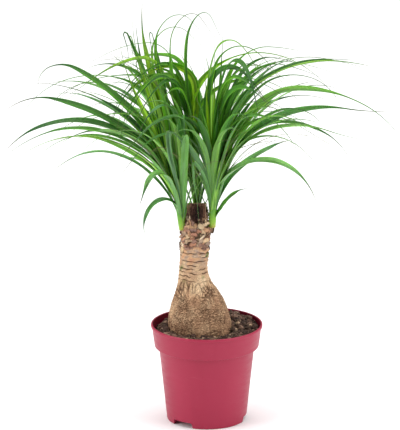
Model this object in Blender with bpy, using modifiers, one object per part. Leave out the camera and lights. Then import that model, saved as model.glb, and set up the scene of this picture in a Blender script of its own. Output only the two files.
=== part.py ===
"""Potted ponytail palm (Beaucarnea recurvata) in a plastic nursery pot.

Metres, +Z up. The origin is the centre of the pot's base on the ground plane.
-Y is the front. A leaf's bearing is in degrees from +X, turning towards +Y.
"""
import math
import random
from collections import namedtuple

import bpy
import bmesh
import numpy as np
from mathutils import Matrix, Vector

# Driving dimensions
RIM_DIAMETER = 0.120
POT_HEIGHT = 0.106
BASE_DIAMETER = 0.0855
WALL = 0.0012
SOIL_DROP = 0.0088          # soil surface below the rim
STUMP_TOP = 0.2400          # height of the old stem's cut
GAP = 0.0003                # clearance between touching pieces

# Pot
COLLAR_HEIGHT = 0.0245
COLLAR_STEP = 0.0046        # how far the collar stands out of the body
COLLAR_TAPER = 0.0040       # how much narrower the collar is at its foot
COLLAR_ROUND = 0.0010
SHELF_RISE = 0.0018         # inner shelf above the collar's foot
LIP_THICKNESS = 0.0022
LIP_HEIGHT = 0.0030
LIP_ROUND = 0.0008
LIP_BEVEL = 0.0006          # at the mouth's inner edge
FLOOR_RAISE = 0.0066        # floor's underside above the ground
FLOOR_FILLET = 0.0030
FOOT_RING_WIDTH = 0.0040
FOOT_ROUND = 0.0012
FOOT_NOTCH_HEIGHT = 0.0060
FOOT_NOTCH_WIDTH = 0.0290
FOOT_NOTCH_TAPER = 0.0060   # how much narrower the notch is at its top
FOOT_NOTCH_DEPTH = 0.0160
FOOT_NOTCH_BEARINGS = (-128.0, -8.0, 112.0)
DRAIN_RADIUS = 0.0040
DRAIN_RING = 0.0240
DRAIN_COUNT = 5
DRAIN_FIRST = 20.0          # bearing of the first drain hole
DRAIN_SIDES = 12
POT_SEGMENTS = 48
POT_CREASE = 32             # edges sharper than this, in degrees, stay sharp

# Soil
SOIL_SEGMENTS = 36
SOIL_RINGS = 6
SOIL_BUMP = 0.0013
LUMP_WAVES = (420.0, 380.0)         # along x and y, in radians a metre
LUMP_PHASES = (1.3, -0.6)
CRUMB_WAVES = ((910.0, 640.0), (-300.0, 870.0))
CRUMB_SHARE = 0.6           # of the lumps' height
SOIL_EDGE_FADE = 0.0060     # how far in from the wall the soil's lumps begin
MOUND_HEIGHT = 0.0065
MOUND_X, MOUND_Y = 0.036, 0.022
MOUND_SPREAD = 0.022
BANK_HEIGHT = 0.0022        # soil banked up against the trunk
BANK_REACH = 0.0140

# Trunk: the swollen base, the neck and the stump of the old stem
TRUNK_SEGMENTS = 28
STUMP_TILT = math.tan(math.radians(13.0))
TrunkRing = namedtuple("TrunkRing", "height x y radius")
TRUNK_RINGS = (
    TrunkRing(0.0580, -0.0050, 0.0000, 0.0120),
    TrunkRing(0.0630, -0.0052, 0.0000, 0.0220),
    TrunkRing(0.0720, -0.0054, 0.0000, 0.0300),
    TrunkRing(0.0820, -0.0055, 0.0000, 0.0342),
    TrunkRing(0.0910, -0.0057, 0.0000, 0.0351),
    TrunkRing(0.1000, -0.0062, 0.0000, 0.0347),
    TrunkRing(0.1110, -0.0072, 0.0000, 0.0336),
    TrunkRing(0.1210, -0.0076, 0.0000, 0.0316),
    TrunkRing(0.1320, -0.0084, 0.0000, 0.0278),
    TrunkRing(0.1430, -0.0100, 0.0000, 0.0230),
    TrunkRing(0.1530, -0.0126, 0.0000, 0.0184),
    TrunkRing(0.1600, -0.0139, 0.0000, 0.0162),
    TrunkRing(0.1700, -0.0145, 0.0000, 0.0149),
    TrunkRing(0.1800, -0.0138, 0.0000, 0.0152),
    TrunkRing(0.1900, -0.0130, 0.0000, 0.0155),
    TrunkRing(0.2010, -0.0127, 0.0000, 0.0152),
    TrunkRing(0.2080, -0.0111, 0.0005, 0.0165),
    TrunkRing(0.2140, -0.0104, 0.0010, 0.0165),
    TrunkRing(0.2190, -0.0106, 0.0005, 0.0146),
    TrunkRing(0.2235, -0.0110, 0.0000, 0.0122),
    TrunkRing(0.2320, -0.0113, -0.0005, 0.0118),
    TrunkRing(STUMP_TOP, -0.0115, -0.0005, 0.0116),
)
TRUNK_GRAIN = 0.035         # unevenness of the trunk, as a share of its radius
TRUNK_LOBES = ((3, 40.0, 0.5), (5, -60.0, 0.3))    # count, twist a metre, share
RINGED_ABOVE = 0.1500       # height where the trunk's leaf scars begin
RINGED_FULLY = 0.0200       # and how much higher they are at full strength
RING_WAVES = 900.0          # leaf scars' waves, in radians a metre
RING_SWAY = 2.0
RING_SHARE = 0.35
SOCKET_SIDES = 20
SOCKET_LENGTH = 0.0350

# Shoots: a short core of clasping leaf bases, seated in the trunk's shoulder
CORE_RADIUS = 0.0042
CORE_SUNK = 0.0050
CORE_LENGTH = 0.0440
CORE_SECTIONS = (           # share of the core's length, and its radius there
    (1.0, 0.0), (0.95, 0.0022), (0.78, 0.0047), (0.55, 0.0055), (0.20, 0.0045))
CORE_SIDES = 12
SOCKET_MOUTH = 0.0105       # recess radius at the stump's top
Shoot = namedtuple("Shoot", "seat lean bearing fillers first_filler")
SHOOTS = {
    "shoot_left": Shoot((-0.0262, -0.0050, 0.2165), 8.0, 185.0, 19, 255.0),
    "shoot_right": Shoot((0.0058, -0.0040, 0.2190), 4.0, 350.0, 21, 290.0),
    "shoot_back": Shoot((-0.0104, 0.0168, 0.2165), 8.0, 90.0, 16, 60.0),
}

# Leaves
LEAF_THICKNESS = 0.0010
LEAF_CHANNEL = 0.16         # rise of the blade's edges, as a share of its width
LEAF_SEGMENTS = 8
FILLER_SEGMENTS = 6
LEAF_CLEARANCE = 0.0032     # least distance between leaves of different shoots
PATH_STEPS = 80
CREASE_TURN = 90.0          # a leaf that turns more than this in one step is creased
CREASE_SHARPNESS = 4.0
ROOT_WIDTH = 0.48           # width at a leaf's root and where its thin tip
TAIL_WIDTH = 0.14           # begins, as shares of its full width
BROAD_FROM = 0.26           # shares of its length where it is at its broadest
NARROW_FROM = 0.25          # and where it begins to narrow
NARROWING = 2.2
TIP_THINNING = 0.35         # how much thinner the blade is at its tip
HIDDEN_REACH = 0.6          # a root is hidden within these shares of the core's
HIDDEN_HEIGHT = 0.75        # radius and length
BEND_CROWDING = 0.5         # how much sections crowd together at a bend
CLOUD_SEGMENTS = 64

# Filler leaves: the first number is for the youngest, the second for the oldest
GOLDEN_ANGLE = 137.5
FILLER_SEED = 4
FILLER_RISE = (89.0, 80.0)
FILLER_DROOP = (30.0, 115.0)
FILLER_ARCH = 1.6           # how late along the leaf it droops
FILLER_LENGTH = (0.170, 0.230)
LENGTH_SPREAD = (0.85, 1.12)
WIDTH_SPREAD = (0.0052, 0.0084)
TAIL_SPREAD = (0.70, 0.90)
SWEEP_SPREAD = 18.0
ROLL_SPREAD = 25.0
TURN_STEP = 9.0             # how far a filler leaf is turned to stand clear
TURN_TRIES = 20

# A leaf's bearing at its root, its sweep to one side by its tip and its roll are
# in degrees, its length and width in metres. Its tail is the share of its length
# where it has narrowed to a thin tip. The slopes are its angles above the
# horizontal at even steps from its root to its tip.
Leaf = namedtuple("Leaf", "bearing sweep length width tail roll slopes")
LEAVES = {
    "shoot_left": (
        Leaf(166, -10, 0.246, 0.0085, 0.90, -60, (84, 80, 77, 75, 78, 94)),
        Leaf(160, 8, 0.228, 0.0055, 0.90, -30, (80, 75, 73, 74, 79, 87)),
        Leaf(170, -14, 0.258, 0.0078, 0.85, -55, (76, 78, 78, 78, 77, 75, 72, 68, 64, -108, -76)),
        Leaf(155, 10, 0.235, 0.0060, 0.90, -30, (78, 79, 78, 71, 15, -30)),
        Leaf(182, -8, 0.268, 0.0085, 0.88, -25, (80, 76, 72, 66, 59, 50, 42, 36, 26, -22, -95)),
        Leaf(165, 12, 0.320, 0.0072, 0.60, -15, (84, 86, 60, 8, -27, -70)),
        Leaf(175, -10, 0.270, 0.0066, 0.65, -20, (84, 70, 50, 28, 8, -15)),
        Leaf(185, 8, 0.268, 0.0092, 0.85, -30, (84, 65, 43, 28, 12, -40)),
        Leaf(191, -14, 0.266, 0.0078, 0.92, -20, (90, 63, 40, 15, -18, -50)),
        Leaf(199, 10, 0.270, 0.0072, 0.80, -15, (84, 60, 37, 15, -12, -35)),
        Leaf(145, -8, 0.290, 0.0055, 0.75, 0, (84, 73, 51, 13, -24, -52)),
        Leaf(135, 12, 0.240, 0.0060, 0.80, 0, (75, 56, 38, 12, -22, -40)),
        Leaf(242, -10, 0.208, 0.0085, 0.90, 0, (86, 92, 86, 62, -12, -55)),
        Leaf(225, 8, 0.125, 0.0085, 0.90, 0, (72, 72, 70, 20, -60, -60)),
        Leaf(140, -14, 0.135, 0.0060, 0.85, 0, (82, 66, 42, 12, -8, -8)),
        Leaf(205, 10, 0.092, 0.0060, 0.90, -10, (90, 66, 22, -36, -76, -105)),
        Leaf(168, -8, 0.200, 0.0050, 0.80, 0, (74, 80, 84, 84, 78, 66)),
    ),
    "shoot_right": (
        Leaf(216, 12, 0.238, 0.0085, 0.85, 10, (84, 88, 70, 12, -32, -26)),
        Leaf(235, -10, 0.262, 0.0085, 0.85, 20, (88, 76, 64, 53, 44, 36, -95, -112, -106, -98, -92)),
        Leaf(0, 8, 0.270, 0.0092, 0.78, 25, (82, 72, 43, 13, -10, 2)),
        Leaf(335, -14, 0.192, 0.0085, 0.85, 20, (94, 64, 33, 3, -35, -70)),
        Leaf(35, 10, 0.145, 0.0072, 0.90, 10, (82, 62, 38, 21, 9, 2)),
        Leaf(350, -8, 0.328, 0.0078, 0.75, 25, (77, 78, 54, 1, -24, -60)),
        Leaf(10, 12, 0.300, 0.0072, 0.88, 15, (88, 82, 65, 26, -4, -18)),
        Leaf(30, -10, 0.320, 0.0060, 0.60, 5, (84, 86, 64, 16, -14, -22)),
        Leaf(40, 8, 0.250, 0.0066, 0.70, 20, (80, 90, 80, 42, 8, -12)),
        Leaf(335, -14, 0.297, 0.0085, 0.65, 45, (80, 90, 95, 96, 92, 82, 66, 20, -30, -50, -30)),
        Leaf(20, 10, 0.275, 0.0072, 0.70, 35, (76, 91, 88, 64, -8, -22)),
        Leaf(320, -8, 0.275, 0.0078, 0.60, 40, (76, 90, 86, 56, -5, -38)),
        Leaf(345, 12, 0.278, 0.0066, 0.70, 15, (79, 82, 70, 40, -18, -86)),
        Leaf(325, -10, 0.225, 0.0078, 0.75, 15, (82, 72, 60, 38, -4, -40)),
        Leaf(345, 8, 0.230, 0.0045, 0.50, 0, (82, 82, 72, 22, -30, -30)),
        Leaf(320, -14, 0.240, 0.0066, 0.75, 10, (86, 82, 68, 20, -24, -56)),
        Leaf(315, 10, 0.205, 0.0092, 0.75, 10, (76, 78, 72, 56, 15, -50)),
        Leaf(35, -8, 0.165, 0.0066, 0.90, 25, (92, 82, 71, 59, 46, 34)),
        Leaf(20, 12, 0.216, 0.0050, 0.70, 50, (89, 89, 89, 89, 90, 90)),
        Leaf(5, 10, 0.058, 0.0055, 0.85, 10, (62, 60, 55, 45, 20, -5)),
        Leaf(345, -8, 0.042, 0.0050, 0.85, 15, (62, 60, 58, 56, 52, 46)),
    ),
    "shoot_back": (
        Leaf(177, -10, 0.303, 0.0060, 0.60, -30, (84, 84, 84, 83, 82, 78, 66, -4, -22, -32, -20)),
        Leaf(160, 8, 0.300, 0.0055, 0.70, 0, (80, 90, 72, 4, -19, -55)),
        Leaf(214, -14, 0.285, 0.0066, 0.75, -45, (80, 86, 89, 88, 82, 74, 59, -20, -45, -58, -46)),
        Leaf(210, 10, 0.285, 0.0092, 0.80, -55, (82, 84, 85, 86, 85, 80, 20, -25, -54, -72, -92)),
        Leaf(12, -8, 0.330, 0.0085, 0.60, 45, (92, 99, 98, 90, 75, 46, 20, -5, -26, -42, -60)),
        Leaf(30, 12, 0.292, 0.0072, 0.68, 50, (85, 95, 102, 106, 106, 104, 98, 84, 30, -52, -50)),
        Leaf(95, -6, 0.197, 0.0078, 0.85, 5, (82, 72, 50, 22, -8, -36)),
    ),
}


def clear_scene():
    for obj in list(bpy.data.objects):
        bpy.data.objects.remove(obj, do_unlink=True)


def collection(name):
    new = bpy.data.collections.new(name)
    bpy.context.scene.collection.children.link(new)
    return new


def material(name, colour, roughness):
    mat = bpy.data.materials.new(name)
    mat.use_nodes = True
    shader = mat.node_tree.nodes["Principled BSDF"]
    shader.inputs["Base Color"].default_value = (*colour, 1.0)
    shader.inputs["Roughness"].default_value = roughness
    shader.inputs["Metallic"].default_value = 0.0
    return mat


def mesh_object(name, vertices, faces, home, mat=None):
    mesh = bpy.data.meshes.new(name)
    mesh.from_pydata([tuple(v) for v in vertices], [], faces)
    mesh.update()
    obj = bpy.data.objects.new(name, mesh)
    home.objects.link(obj)
    if mat:
        mesh.materials.append(mat)
    return obj


def move_to(obj, home):
    for owner in list(obj.users_collection):
        owner.objects.unlink(obj)
    home.objects.link(obj)


def turned(name, profile, segments, home, mat):
    """A solid turned about Z from (radius, height) points, as a Screw."""
    points = [(radius, 0.0, height) for radius, height in profile]
    edges = [(i, i + 1) for i in range(len(points) - 1)]
    mesh = bpy.data.meshes.new(name)
    mesh.from_pydata(points, edges, [])
    obj = bpy.data.objects.new(name, mesh)
    home.objects.link(obj)
    screw = obj.modifiers.new("Turn", "SCREW")
    screw.steps = segments
    screw.render_steps = segments
    screw.use_merge_vertices = True
    screw.merge_threshold = 0.00005
    mesh.materials.append(mat)
    return obj


def as_guide(obj):
    obj.hide_render = True
    obj.display_type = "WIRE"


def cut(obj, cutter):
    as_guide(cutter)
    boolean = obj.modifiers.new("Cut " + cutter.name, "BOOLEAN")
    boolean.operation = "DIFFERENCE"
    boolean.object = cutter


def freeze(obj):
    """Replace the object's mesh by the one its modifiers give."""
    graph = bpy.context.evaluated_depsgraph_get()
    mesh = bpy.data.meshes.new_from_object(obj.evaluated_get(graph))
    obj.modifiers.clear()
    obj.data = mesh


def smooth(obj, angle):
    obj.data.shade_smooth()
    obj.data.set_sharp_from_angle(angle=math.radians(angle))


def on_circle(radius, bearing, height=0.0):
    angle = math.radians(bearing)
    return Vector((radius * math.cos(angle), radius * math.sin(angle), height))


# ---------------------------------------------------------------- pot
def pot_heights():
    """Heights of the pot's floor top, body top and soil surface."""
    floor_top = FLOOR_RAISE + WALL
    body_top = POT_HEIGHT - COLLAR_HEIGHT
    return floor_top, body_top, POT_HEIGHT - SOIL_DROP


def pot_radii():
    """Outer radii of the pot's foot, body top, collar foot and rim."""
    rim = RIM_DIAMETER / 2
    collar_foot = rim - COLLAR_TAPER
    return BASE_DIAMETER / 2, collar_foot - COLLAR_STEP, collar_foot, rim


def pot_inner_radius(height):
    """Radius of the pot's inner wall at a height."""
    floor_top, body_top, _ = pot_heights()
    foot, body, collar, rim = pot_radii()
    if height < body_top:
        share = height / body_top
        return foot + (body - foot) * share - WALL
    share = (height - body_top) / COLLAR_HEIGHT
    return collar + (rim - LIP_THICKNESS / 2 - collar) * share - WALL


def pot_profile():
    """The pot's section, from the floor's centre up, over the rim and down."""
    floor_top, body_top, _ = pot_heights()
    foot, body, collar, rim = pot_radii()
    shelf = body_top + SHELF_RISE
    lip_foot = POT_HEIGHT - LIP_HEIGHT
    inside = [
        (0.0, floor_top),
        (pot_inner_radius(floor_top) - FLOOR_FILLET, floor_top),
        (pot_inner_radius(floor_top), floor_top + FLOOR_FILLET),
        (pot_inner_radius(body_top - COLLAR_ROUND), body_top - COLLAR_ROUND),
        (pot_inner_radius(shelf), shelf),
        (rim - LIP_THICKNESS, lip_foot),
        (rim - LIP_THICKNESS, POT_HEIGHT - LIP_BEVEL),
    ]
    outside = [
        (rim - LIP_THICKNESS + LIP_BEVEL, POT_HEIGHT),
        (rim - LIP_ROUND, POT_HEIGHT),
        (rim, POT_HEIGHT - LIP_ROUND),
        (rim, lip_foot + LIP_ROUND),
        (rim - LIP_ROUND, lip_foot),
        (collar, body_top + 2 * COLLAR_ROUND),
        (collar - COLLAR_ROUND, body_top + COLLAR_ROUND / 2),
        (collar - 3 * COLLAR_ROUND, body_top),
        (body, body_top),
        (foot, 2 * FOOT_ROUND),
        (foot - FOOT_ROUND, 0.0),
        (foot - 3 * FOOT_ROUND, 0.0),
        (foot - FOOT_RING_WIDTH, FLOOR_RAISE),
        (0.0, FLOOR_RAISE),
    ]
    return inside + outside


def foot_notch_cutter(index, bearing, home):
    """A block with sloping ends that opens the foot ring to the ground."""
    bpy.ops.mesh.primitive_cube_add(size=1.0)
    block = bpy.context.object
    block.name = f"notch_cutter_{index}"
    for vertex in block.data.vertices:
        top = vertex.co.z > 0
        width = FOOT_NOTCH_WIDTH - (FOOT_NOTCH_TAPER if top else 0.0)
        vertex.co.x *= FOOT_NOTCH_DEPTH
        vertex.co.y *= width
        vertex.co.z = FOOT_NOTCH_HEIGHT if top else -FOOT_NOTCH_HEIGHT
    block.location = on_circle(BASE_DIAMETER / 2, bearing)
    block.rotation_euler.z = math.radians(bearing)
    move_to(block, home)
    return block


def drain_cutter(index, home):
    bpy.ops.mesh.primitive_cylinder_add(
        vertices=DRAIN_SIDES, radius=DRAIN_RADIUS, depth=8 * WALL)
    drill = bpy.context.object
    drill.name = f"drain_cutter_{index}"
    bearing = DRAIN_FIRST + index * 360.0 / DRAIN_COUNT
    drill.location = on_circle(DRAIN_RING, bearing, FLOOR_RAISE)
    move_to(drill, home)
    return drill


def build_pot(home, cutters):
    mat = material("pot_plastic", (0.36, 0.035, 0.075), 0.42)
    pot = turned("pot", pot_profile(), POT_SEGMENTS, home, mat)
    for index, bearing in enumerate(FOOT_NOTCH_BEARINGS):
        cut(pot, foot_notch_cutter(index, bearing, cutters))
    for index in range(DRAIN_COUNT):
        cut(pot, drain_cutter(index, cutters))
    freeze(pot)
    smooth(pot, POT_CREASE)
    return pot


# --------------------------------------------------------------- trunk
def trunk_grain(angle, height):
    """Gentle lobes and rings, as a share of the trunk's radius."""
    lobes = sum(share * math.sin(count * angle + twist * height)
                for count, twist, share in TRUNK_LOBES)
    rings = RING_SHARE * math.sin(height * RING_WAVES + RING_SWAY * math.sin(2 * angle))
    fade = min(1.0, max(0.0, (height - RINGED_ABOVE) / RINGED_FULLY))
    return TRUNK_GRAIN * (lobes + rings * fade)


def trunk_ring_points(ring, grow):
    """One section of the trunk, grown outwards by a clearance."""
    points = []
    for step in range(TRUNK_SEGMENTS):
        angle = 2 * math.pi * step / TRUNK_SEGMENTS
        radius = ring.radius * (1 + trunk_grain(angle, ring.height)) + grow
        x = ring.x + radius * math.cos(angle)
        y = ring.y + radius * math.sin(angle)
        tilt = STUMP_TILT * (y - ring.y) if ring.height == STUMP_TOP else 0.0
        points.append((x, y, ring.height - tilt))
    return points


def loft(rings):
    """Vertices and faces of a closed solid through rings of equal count."""
    count = len(rings[0])
    vertices = [point for ring in rings for point in ring]
    faces = []
    for level in range(len(rings) - 1):
        low, high = level * count, (level + 1) * count
        for i in range(count):
            j = (i + 1) % count
            faces.append((low + i, low + j, high + j, high + i))
    faces.append(tuple(reversed(range(count))))
    faces.append(tuple(range(len(vertices) - count, len(vertices))))
    return vertices, faces


def trunk_solid(name, grow, home, mat=None):
    rings = [trunk_ring_points(ring, grow) for ring in TRUNK_RINGS]
    if grow:
        rings[0] = [(x, y, z - grow) for x, y, z in rings[0]]
    return mesh_object(name, *loft(rings), home, mat)


def shoot_axis(shoot):
    lean = math.radians(shoot.lean)
    flat = on_circle(math.sin(lean), shoot.bearing)
    return Vector((flat.x, flat.y, math.cos(lean)))


def socket_cutter(name, shoot, home):
    """A flaring recess in the trunk's shoulder, a little wider than the core."""
    axis = shoot_axis(shoot)
    bpy.ops.mesh.primitive_cone_add(
        vertices=SOCKET_SIDES, radius1=CORE_RADIUS + 2 * GAP, radius2=SOCKET_MOUTH,
        depth=SOCKET_LENGTH)
    drill = bpy.context.object
    drill.name = name + "_socket_cutter"
    drill.rotation_euler = axis.to_track_quat("Z", "Y").to_euler()
    foot = Vector(shoot.seat) - axis * (CORE_SUNK + GAP)
    drill.location = foot + axis * (SOCKET_LENGTH / 2)
    move_to(drill, home)
    return drill


def build_trunk(home, cutters):
    mat = material("trunk_bark", (0.36, 0.25, 0.15), 0.85)
    trunk = trunk_solid("trunk", 0.0, home, mat)
    for name, shoot in SHOOTS.items():
        cut(trunk, socket_cutter(name, shoot, cutters))
    freeze(trunk)
    smooth(trunk, 50)
    return trunk


# ---------------------------------------------------------------- soil
def soil_mound(x, y):
    """How much higher the soil lies at the back right and against the trunk."""
    away = (x - MOUND_X) ** 2 + (y - MOUND_Y) ** 2
    mound = MOUND_HEIGHT * math.exp(-away / (2 * MOUND_SPREAD ** 2))
    widest = max(TRUNK_RINGS, key=lambda ring: ring.radius)
    gap = max(0.0, math.hypot(x - widest.x, y) - widest.radius)
    return mound + BANK_HEIGHT * math.exp(-gap / BANK_REACH)


def soil_lumps(x, y):
    """Lumps and crumbs of the soil's surface."""
    lumps = math.sin(x * LUMP_WAVES[0] + LUMP_PHASES[0])
    lumps *= math.cos(y * LUMP_WAVES[1] + LUMP_PHASES[1])
    first, second = (x * wave_x + y * wave_y for wave_x, wave_y in CRUMB_WAVES)
    return SOIL_BUMP * (lumps + CRUMB_SHARE * math.sin(first) * math.cos(second))


def soil_profile():
    """The soil's section, from its surface's centre out and down to the floor."""
    floor_top, body_top, surface = pot_heights()
    side = 2 * GAP
    shelf = body_top + SHELF_RISE
    neck = body_top - COLLAR_ROUND
    top_edge = pot_inner_radius(surface) - side
    top = [(top_edge * i / SOIL_RINGS, surface) for i in range(SOIL_RINGS)]
    wall = [
        (top_edge, surface),
        (pot_inner_radius(shelf) - 2 * side, shelf + side),
        (pot_inner_radius(neck) - side, neck),
        (pot_inner_radius(floor_top + FLOOR_FILLET) - side, floor_top + FLOOR_FILLET + GAP),
        (pot_inner_radius(floor_top) - FLOOR_FILLET - 2 * GAP, floor_top + GAP),
        (0.0, floor_top + GAP),
    ]
    return top + wall


def build_soil(home, cutters):
    mat = material("soil_peat", (0.035, 0.026, 0.020), 0.95)
    soil = turned("soil", soil_profile(), SOIL_SEGMENTS, home, mat)
    freeze(soil)
    _, _, surface = pot_heights()
    edge = pot_inner_radius(surface)
    for vertex in soil.data.vertices:
        x, y, z = vertex.co
        if z > surface - 0.0001:
            fade = min(1.0, (edge - math.hypot(x, y)) / SOIL_EDGE_FADE)
            vertex.co.z += soil_mound(x, y) + soil_lumps(x, y) * fade
    cut(soil, trunk_solid("soil_hole_cutter", 2 * GAP, cutters))
    freeze(soil)
    smooth(soil, 60)
    return soil


# -------------------------------------------------------------- leaves
def leaf_slope(at, slopes):
    """Angle above the horizontal along a leaf, turning faster at a crease."""
    slopes = np.array(slopes, float)
    step = np.minimum((at * (len(slopes) - 1)).astype(int), len(slopes) - 2)
    share = at * (len(slopes) - 1) - step
    turn = slopes[step + 1] - slopes[step]
    sharpness = np.where(np.abs(turn) > CREASE_TURN, CREASE_SHARPNESS, 1.0)
    return slopes[step] + turn * np.clip(0.5 + (share - 0.5) * sharpness, 0.0, 1.0)


def leaf_path(root, leaf):
    """Shares of the leaf's length and the points there, root to tip."""
    at = (np.arange(PATH_STEPS) + 0.5) / PATH_STEPS
    slope = np.radians(leaf_slope(at, leaf.slopes))
    bearing = np.radians(leaf.bearing + leaf.sweep * at ** 2)
    moves = np.stack([np.cos(slope) * np.cos(bearing),
                      np.cos(slope) * np.sin(bearing),
                      np.sin(slope)], axis=1) * (leaf.length / PATH_STEPS)
    points = np.vstack([np.zeros(3), np.cumsum(moves, axis=0)]) + np.array(root)
    return np.linspace(0.0, 1.0, PATH_STEPS + 1), points


def bend_along(at, points):
    """A measure that grows along the leaf, and faster where it bends."""
    moves = np.diff(points, axis=0)
    moves /= np.linalg.norm(moves, axis=1)[:, None]
    bends = np.linalg.norm(np.diff(moves, axis=0), axis=1)
    return at + BEND_CROWDING * np.concatenate([[0.0], np.cumsum(bends), [bends.sum()]])


def leaf_start(at, points, shoot):
    """Where along the leaf it comes out of its shoot's core."""
    axis = np.array(shoot_axis(shoot))
    offset = points - np.array(shoot.seat)
    height = offset @ axis
    reach = np.linalg.norm(offset - np.outer(height, axis), axis=1)
    inside = (reach < CORE_RADIUS * HIDDEN_REACH) & (height < CORE_LENGTH * HIDDEN_HEIGHT)
    return at[np.flatnonzero(inside)[-1]]


def leaf_width(at, tail):
    """A strap's width along it: narrow root, broad middle, thin drawn-out tip."""
    root = ROOT_WIDTH + (1.0 - ROOT_WIDTH) * np.minimum(1.0, at / BROAD_FROM)
    narrowing = np.clip((at - NARROW_FROM) / (tail - NARROW_FROM), 0.0, 1.0) ** NARROWING
    tip = np.clip((at - tail) / (1.0 - tail), 0.0, 1.0)
    return root * (1.0 - (1.0 - TAIL_WIDTH) * narrowing - TAIL_WIDTH * tip)


def blade_rings(shoot, leaf, segments):
    """Sections of a channelled blade: left edge, under, right edge, upper."""
    at, points = leaf_path(shoot.seat, leaf)
    bend = bend_along(at, points)
    start = np.interp(leaf_start(at, points, shoot), at, bend)
    stations = np.interp(np.linspace(start, bend[-1], segments + 1), bend, at)
    path = np.stack([np.interp(stations, at, points[:, k]) for k in range(3)], axis=1)
    along = np.gradient(path, axis=0)
    along /= np.linalg.norm(along, axis=1)[:, None]
    bearing = np.radians(leaf.bearing + leaf.sweep * stations ** 2)
    side = np.stack([-np.sin(bearing), np.cos(bearing), 0.0 * bearing], axis=1)
    roll = math.radians(leaf.roll)
    across = side * math.cos(roll) + np.cross(along, side) * math.sin(roll)
    out = np.cross(along, across)
    half = (leaf.width / 2 * leaf_width(stations, leaf.tail))[:, None]
    thick = (LEAF_THICKNESS / 2 * (1.0 - TIP_THINNING * stations))[:, None]
    lift = out * half * LEAF_CHANNEL
    left = path - across * half + lift
    right = path + across * half + lift
    return np.stack([left, path - out * thick, right, path + out * thick], axis=1)


def blade_solid(name, rings, home):
    """A closed blade whose two sides are split into triangles alike."""
    vertices = [tuple(point) for ring in rings[:-1] for point in ring]
    tip = len(vertices)
    vertices.append(tuple(rings[-1].mean(axis=0)))
    faces = [(3, 2, 1), (3, 1, 0)]
    for low in range(0, tip - 4, 4):
        high = low + 4
        for edge, middle in ((0, 1), (0, 3), (2, 1), (2, 3)):
            corner = (low + edge, low + middle, high + middle)
            other = (low + edge, high + middle, high + edge)
            if (edge, middle) in ((0, 3), (2, 1)):
                corner, other = corner[::-1], other[::-1]
            faces += [corner, other]
    last = tip - 4
    faces += [(last + i, last + (i + 1) % 4, tip) for i in range(4)]
    return mesh_object(name, vertices, faces, home)


def leaf_cloud(shoot, leaf):
    """Points spread over a leaf, for measuring how far leaves stand apart."""
    rings = blade_rings(shoot, leaf, CLOUD_SEGMENTS)
    left, right, middle = rings[:, 0], rings[:, 2], rings[:, 3]
    return np.vstack([left, (left + middle) / 2, middle, (middle + right) / 2, right])


def stump_cloud():
    """Points over the stump's cut, which the leaves stand clear of too."""
    rim = np.array(trunk_ring_points(TRUNK_RINGS[-1], 0.0))
    middle = rim.mean(axis=0)
    return np.vstack([middle + (rim - middle) * share for share in (0.0, 0.35, 0.7, 1.0)])


def stands_clear(cloud, others):
    for other in others:
        apart = cloud[:, None, :] - other[None, :, :]
        if (apart ** 2).sum(axis=2).min() < LEAF_CLEARANCE ** 2:
            return False
    return True


def filler_leaf(shoot, index, rng):
    """One leaf of the spiral: inner ones young and steep, outer ones arching."""
    age = (index + 0.5) / shoot.fillers
    rise, droop, length = (
        young + (old - young) * age
        for young, old in (FILLER_RISE, FILLER_DROOP, FILLER_LENGTH))
    return Leaf(
        bearing=(shoot.first_filler + GOLDEN_ANGLE * index) % 360.0,
        sweep=rng.uniform(-SWEEP_SPREAD, SWEEP_SPREAD),
        length=length * rng.uniform(*LENGTH_SPREAD),
        width=rng.uniform(*WIDTH_SPREAD),
        tail=rng.uniform(*TAIL_SPREAD),
        roll=rng.uniform(-ROLL_SPREAD, ROLL_SPREAD),
        slopes=tuple(rise - droop * (step / 5) ** FILLER_ARCH for step in range(6)))


def place_leaves():
    """Every shoot's leaves; fillers turn until they clear the other shoots."""
    placed = {name: list(leaves) for name, leaves in LEAVES.items()}
    clouds = {name: [leaf_cloud(SHOOTS[name], leaf) for leaf in leaves]
              for name, leaves in placed.items()}
    rng = random.Random(FILLER_SEED)
    for name, shoot in SHOOTS.items():
        others = [cloud for other in SHOOTS if other != name for cloud in clouds[other]]
        others.append(stump_cloud())
        for index in range(shoot.fillers):
            leaf = filler_leaf(shoot, index, rng)
            for attempt in range(TURN_TRIES):
                turn = TURN_STEP * ((attempt + 1) // 2) * (-1) ** attempt
                turned_leaf = leaf._replace(bearing=leaf.bearing + turn)
                cloud = leaf_cloud(shoot, turned_leaf)
                if stands_clear(cloud, others):
                    placed[name].append(turned_leaf)
                    clouds[name].append(cloud)
                    break
    return placed


def core_profile():
    """The shoot's core from its tip down to its seat in the trunk."""
    free = [(radius, CORE_LENGTH * share) for share, radius in CORE_SECTIONS]
    return free + [(CORE_RADIUS, 0.0), (CORE_RADIUS, -CORE_SUNK), (0.0, -CORE_SUNK)]


def keep_largest_body(mesh):
    """Drop the scraps and filled hollows that joining can leave behind."""
    work = bmesh.new()
    work.from_mesh(mesh)
    work.verts.ensure_lookup_table()
    seen, bodies = set(), []
    for start in work.verts:
        if start.index in seen:
            continue
        body, frontier = [], [start]
        seen.add(start.index)
        while frontier:
            vertex = frontier.pop()
            body.append(vertex)
            for edge in vertex.link_edges:
                other = edge.other_vert(vertex)
                if other.index not in seen:
                    seen.add(other.index)
                    frontier.append(other)
        bodies.append(body)
    bodies.sort(key=len)
    for body in bodies[:-1]:
        bmesh.ops.delete(work, geom=body, context="VERTS")
    work.to_mesh(mesh)
    work.free()


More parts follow.
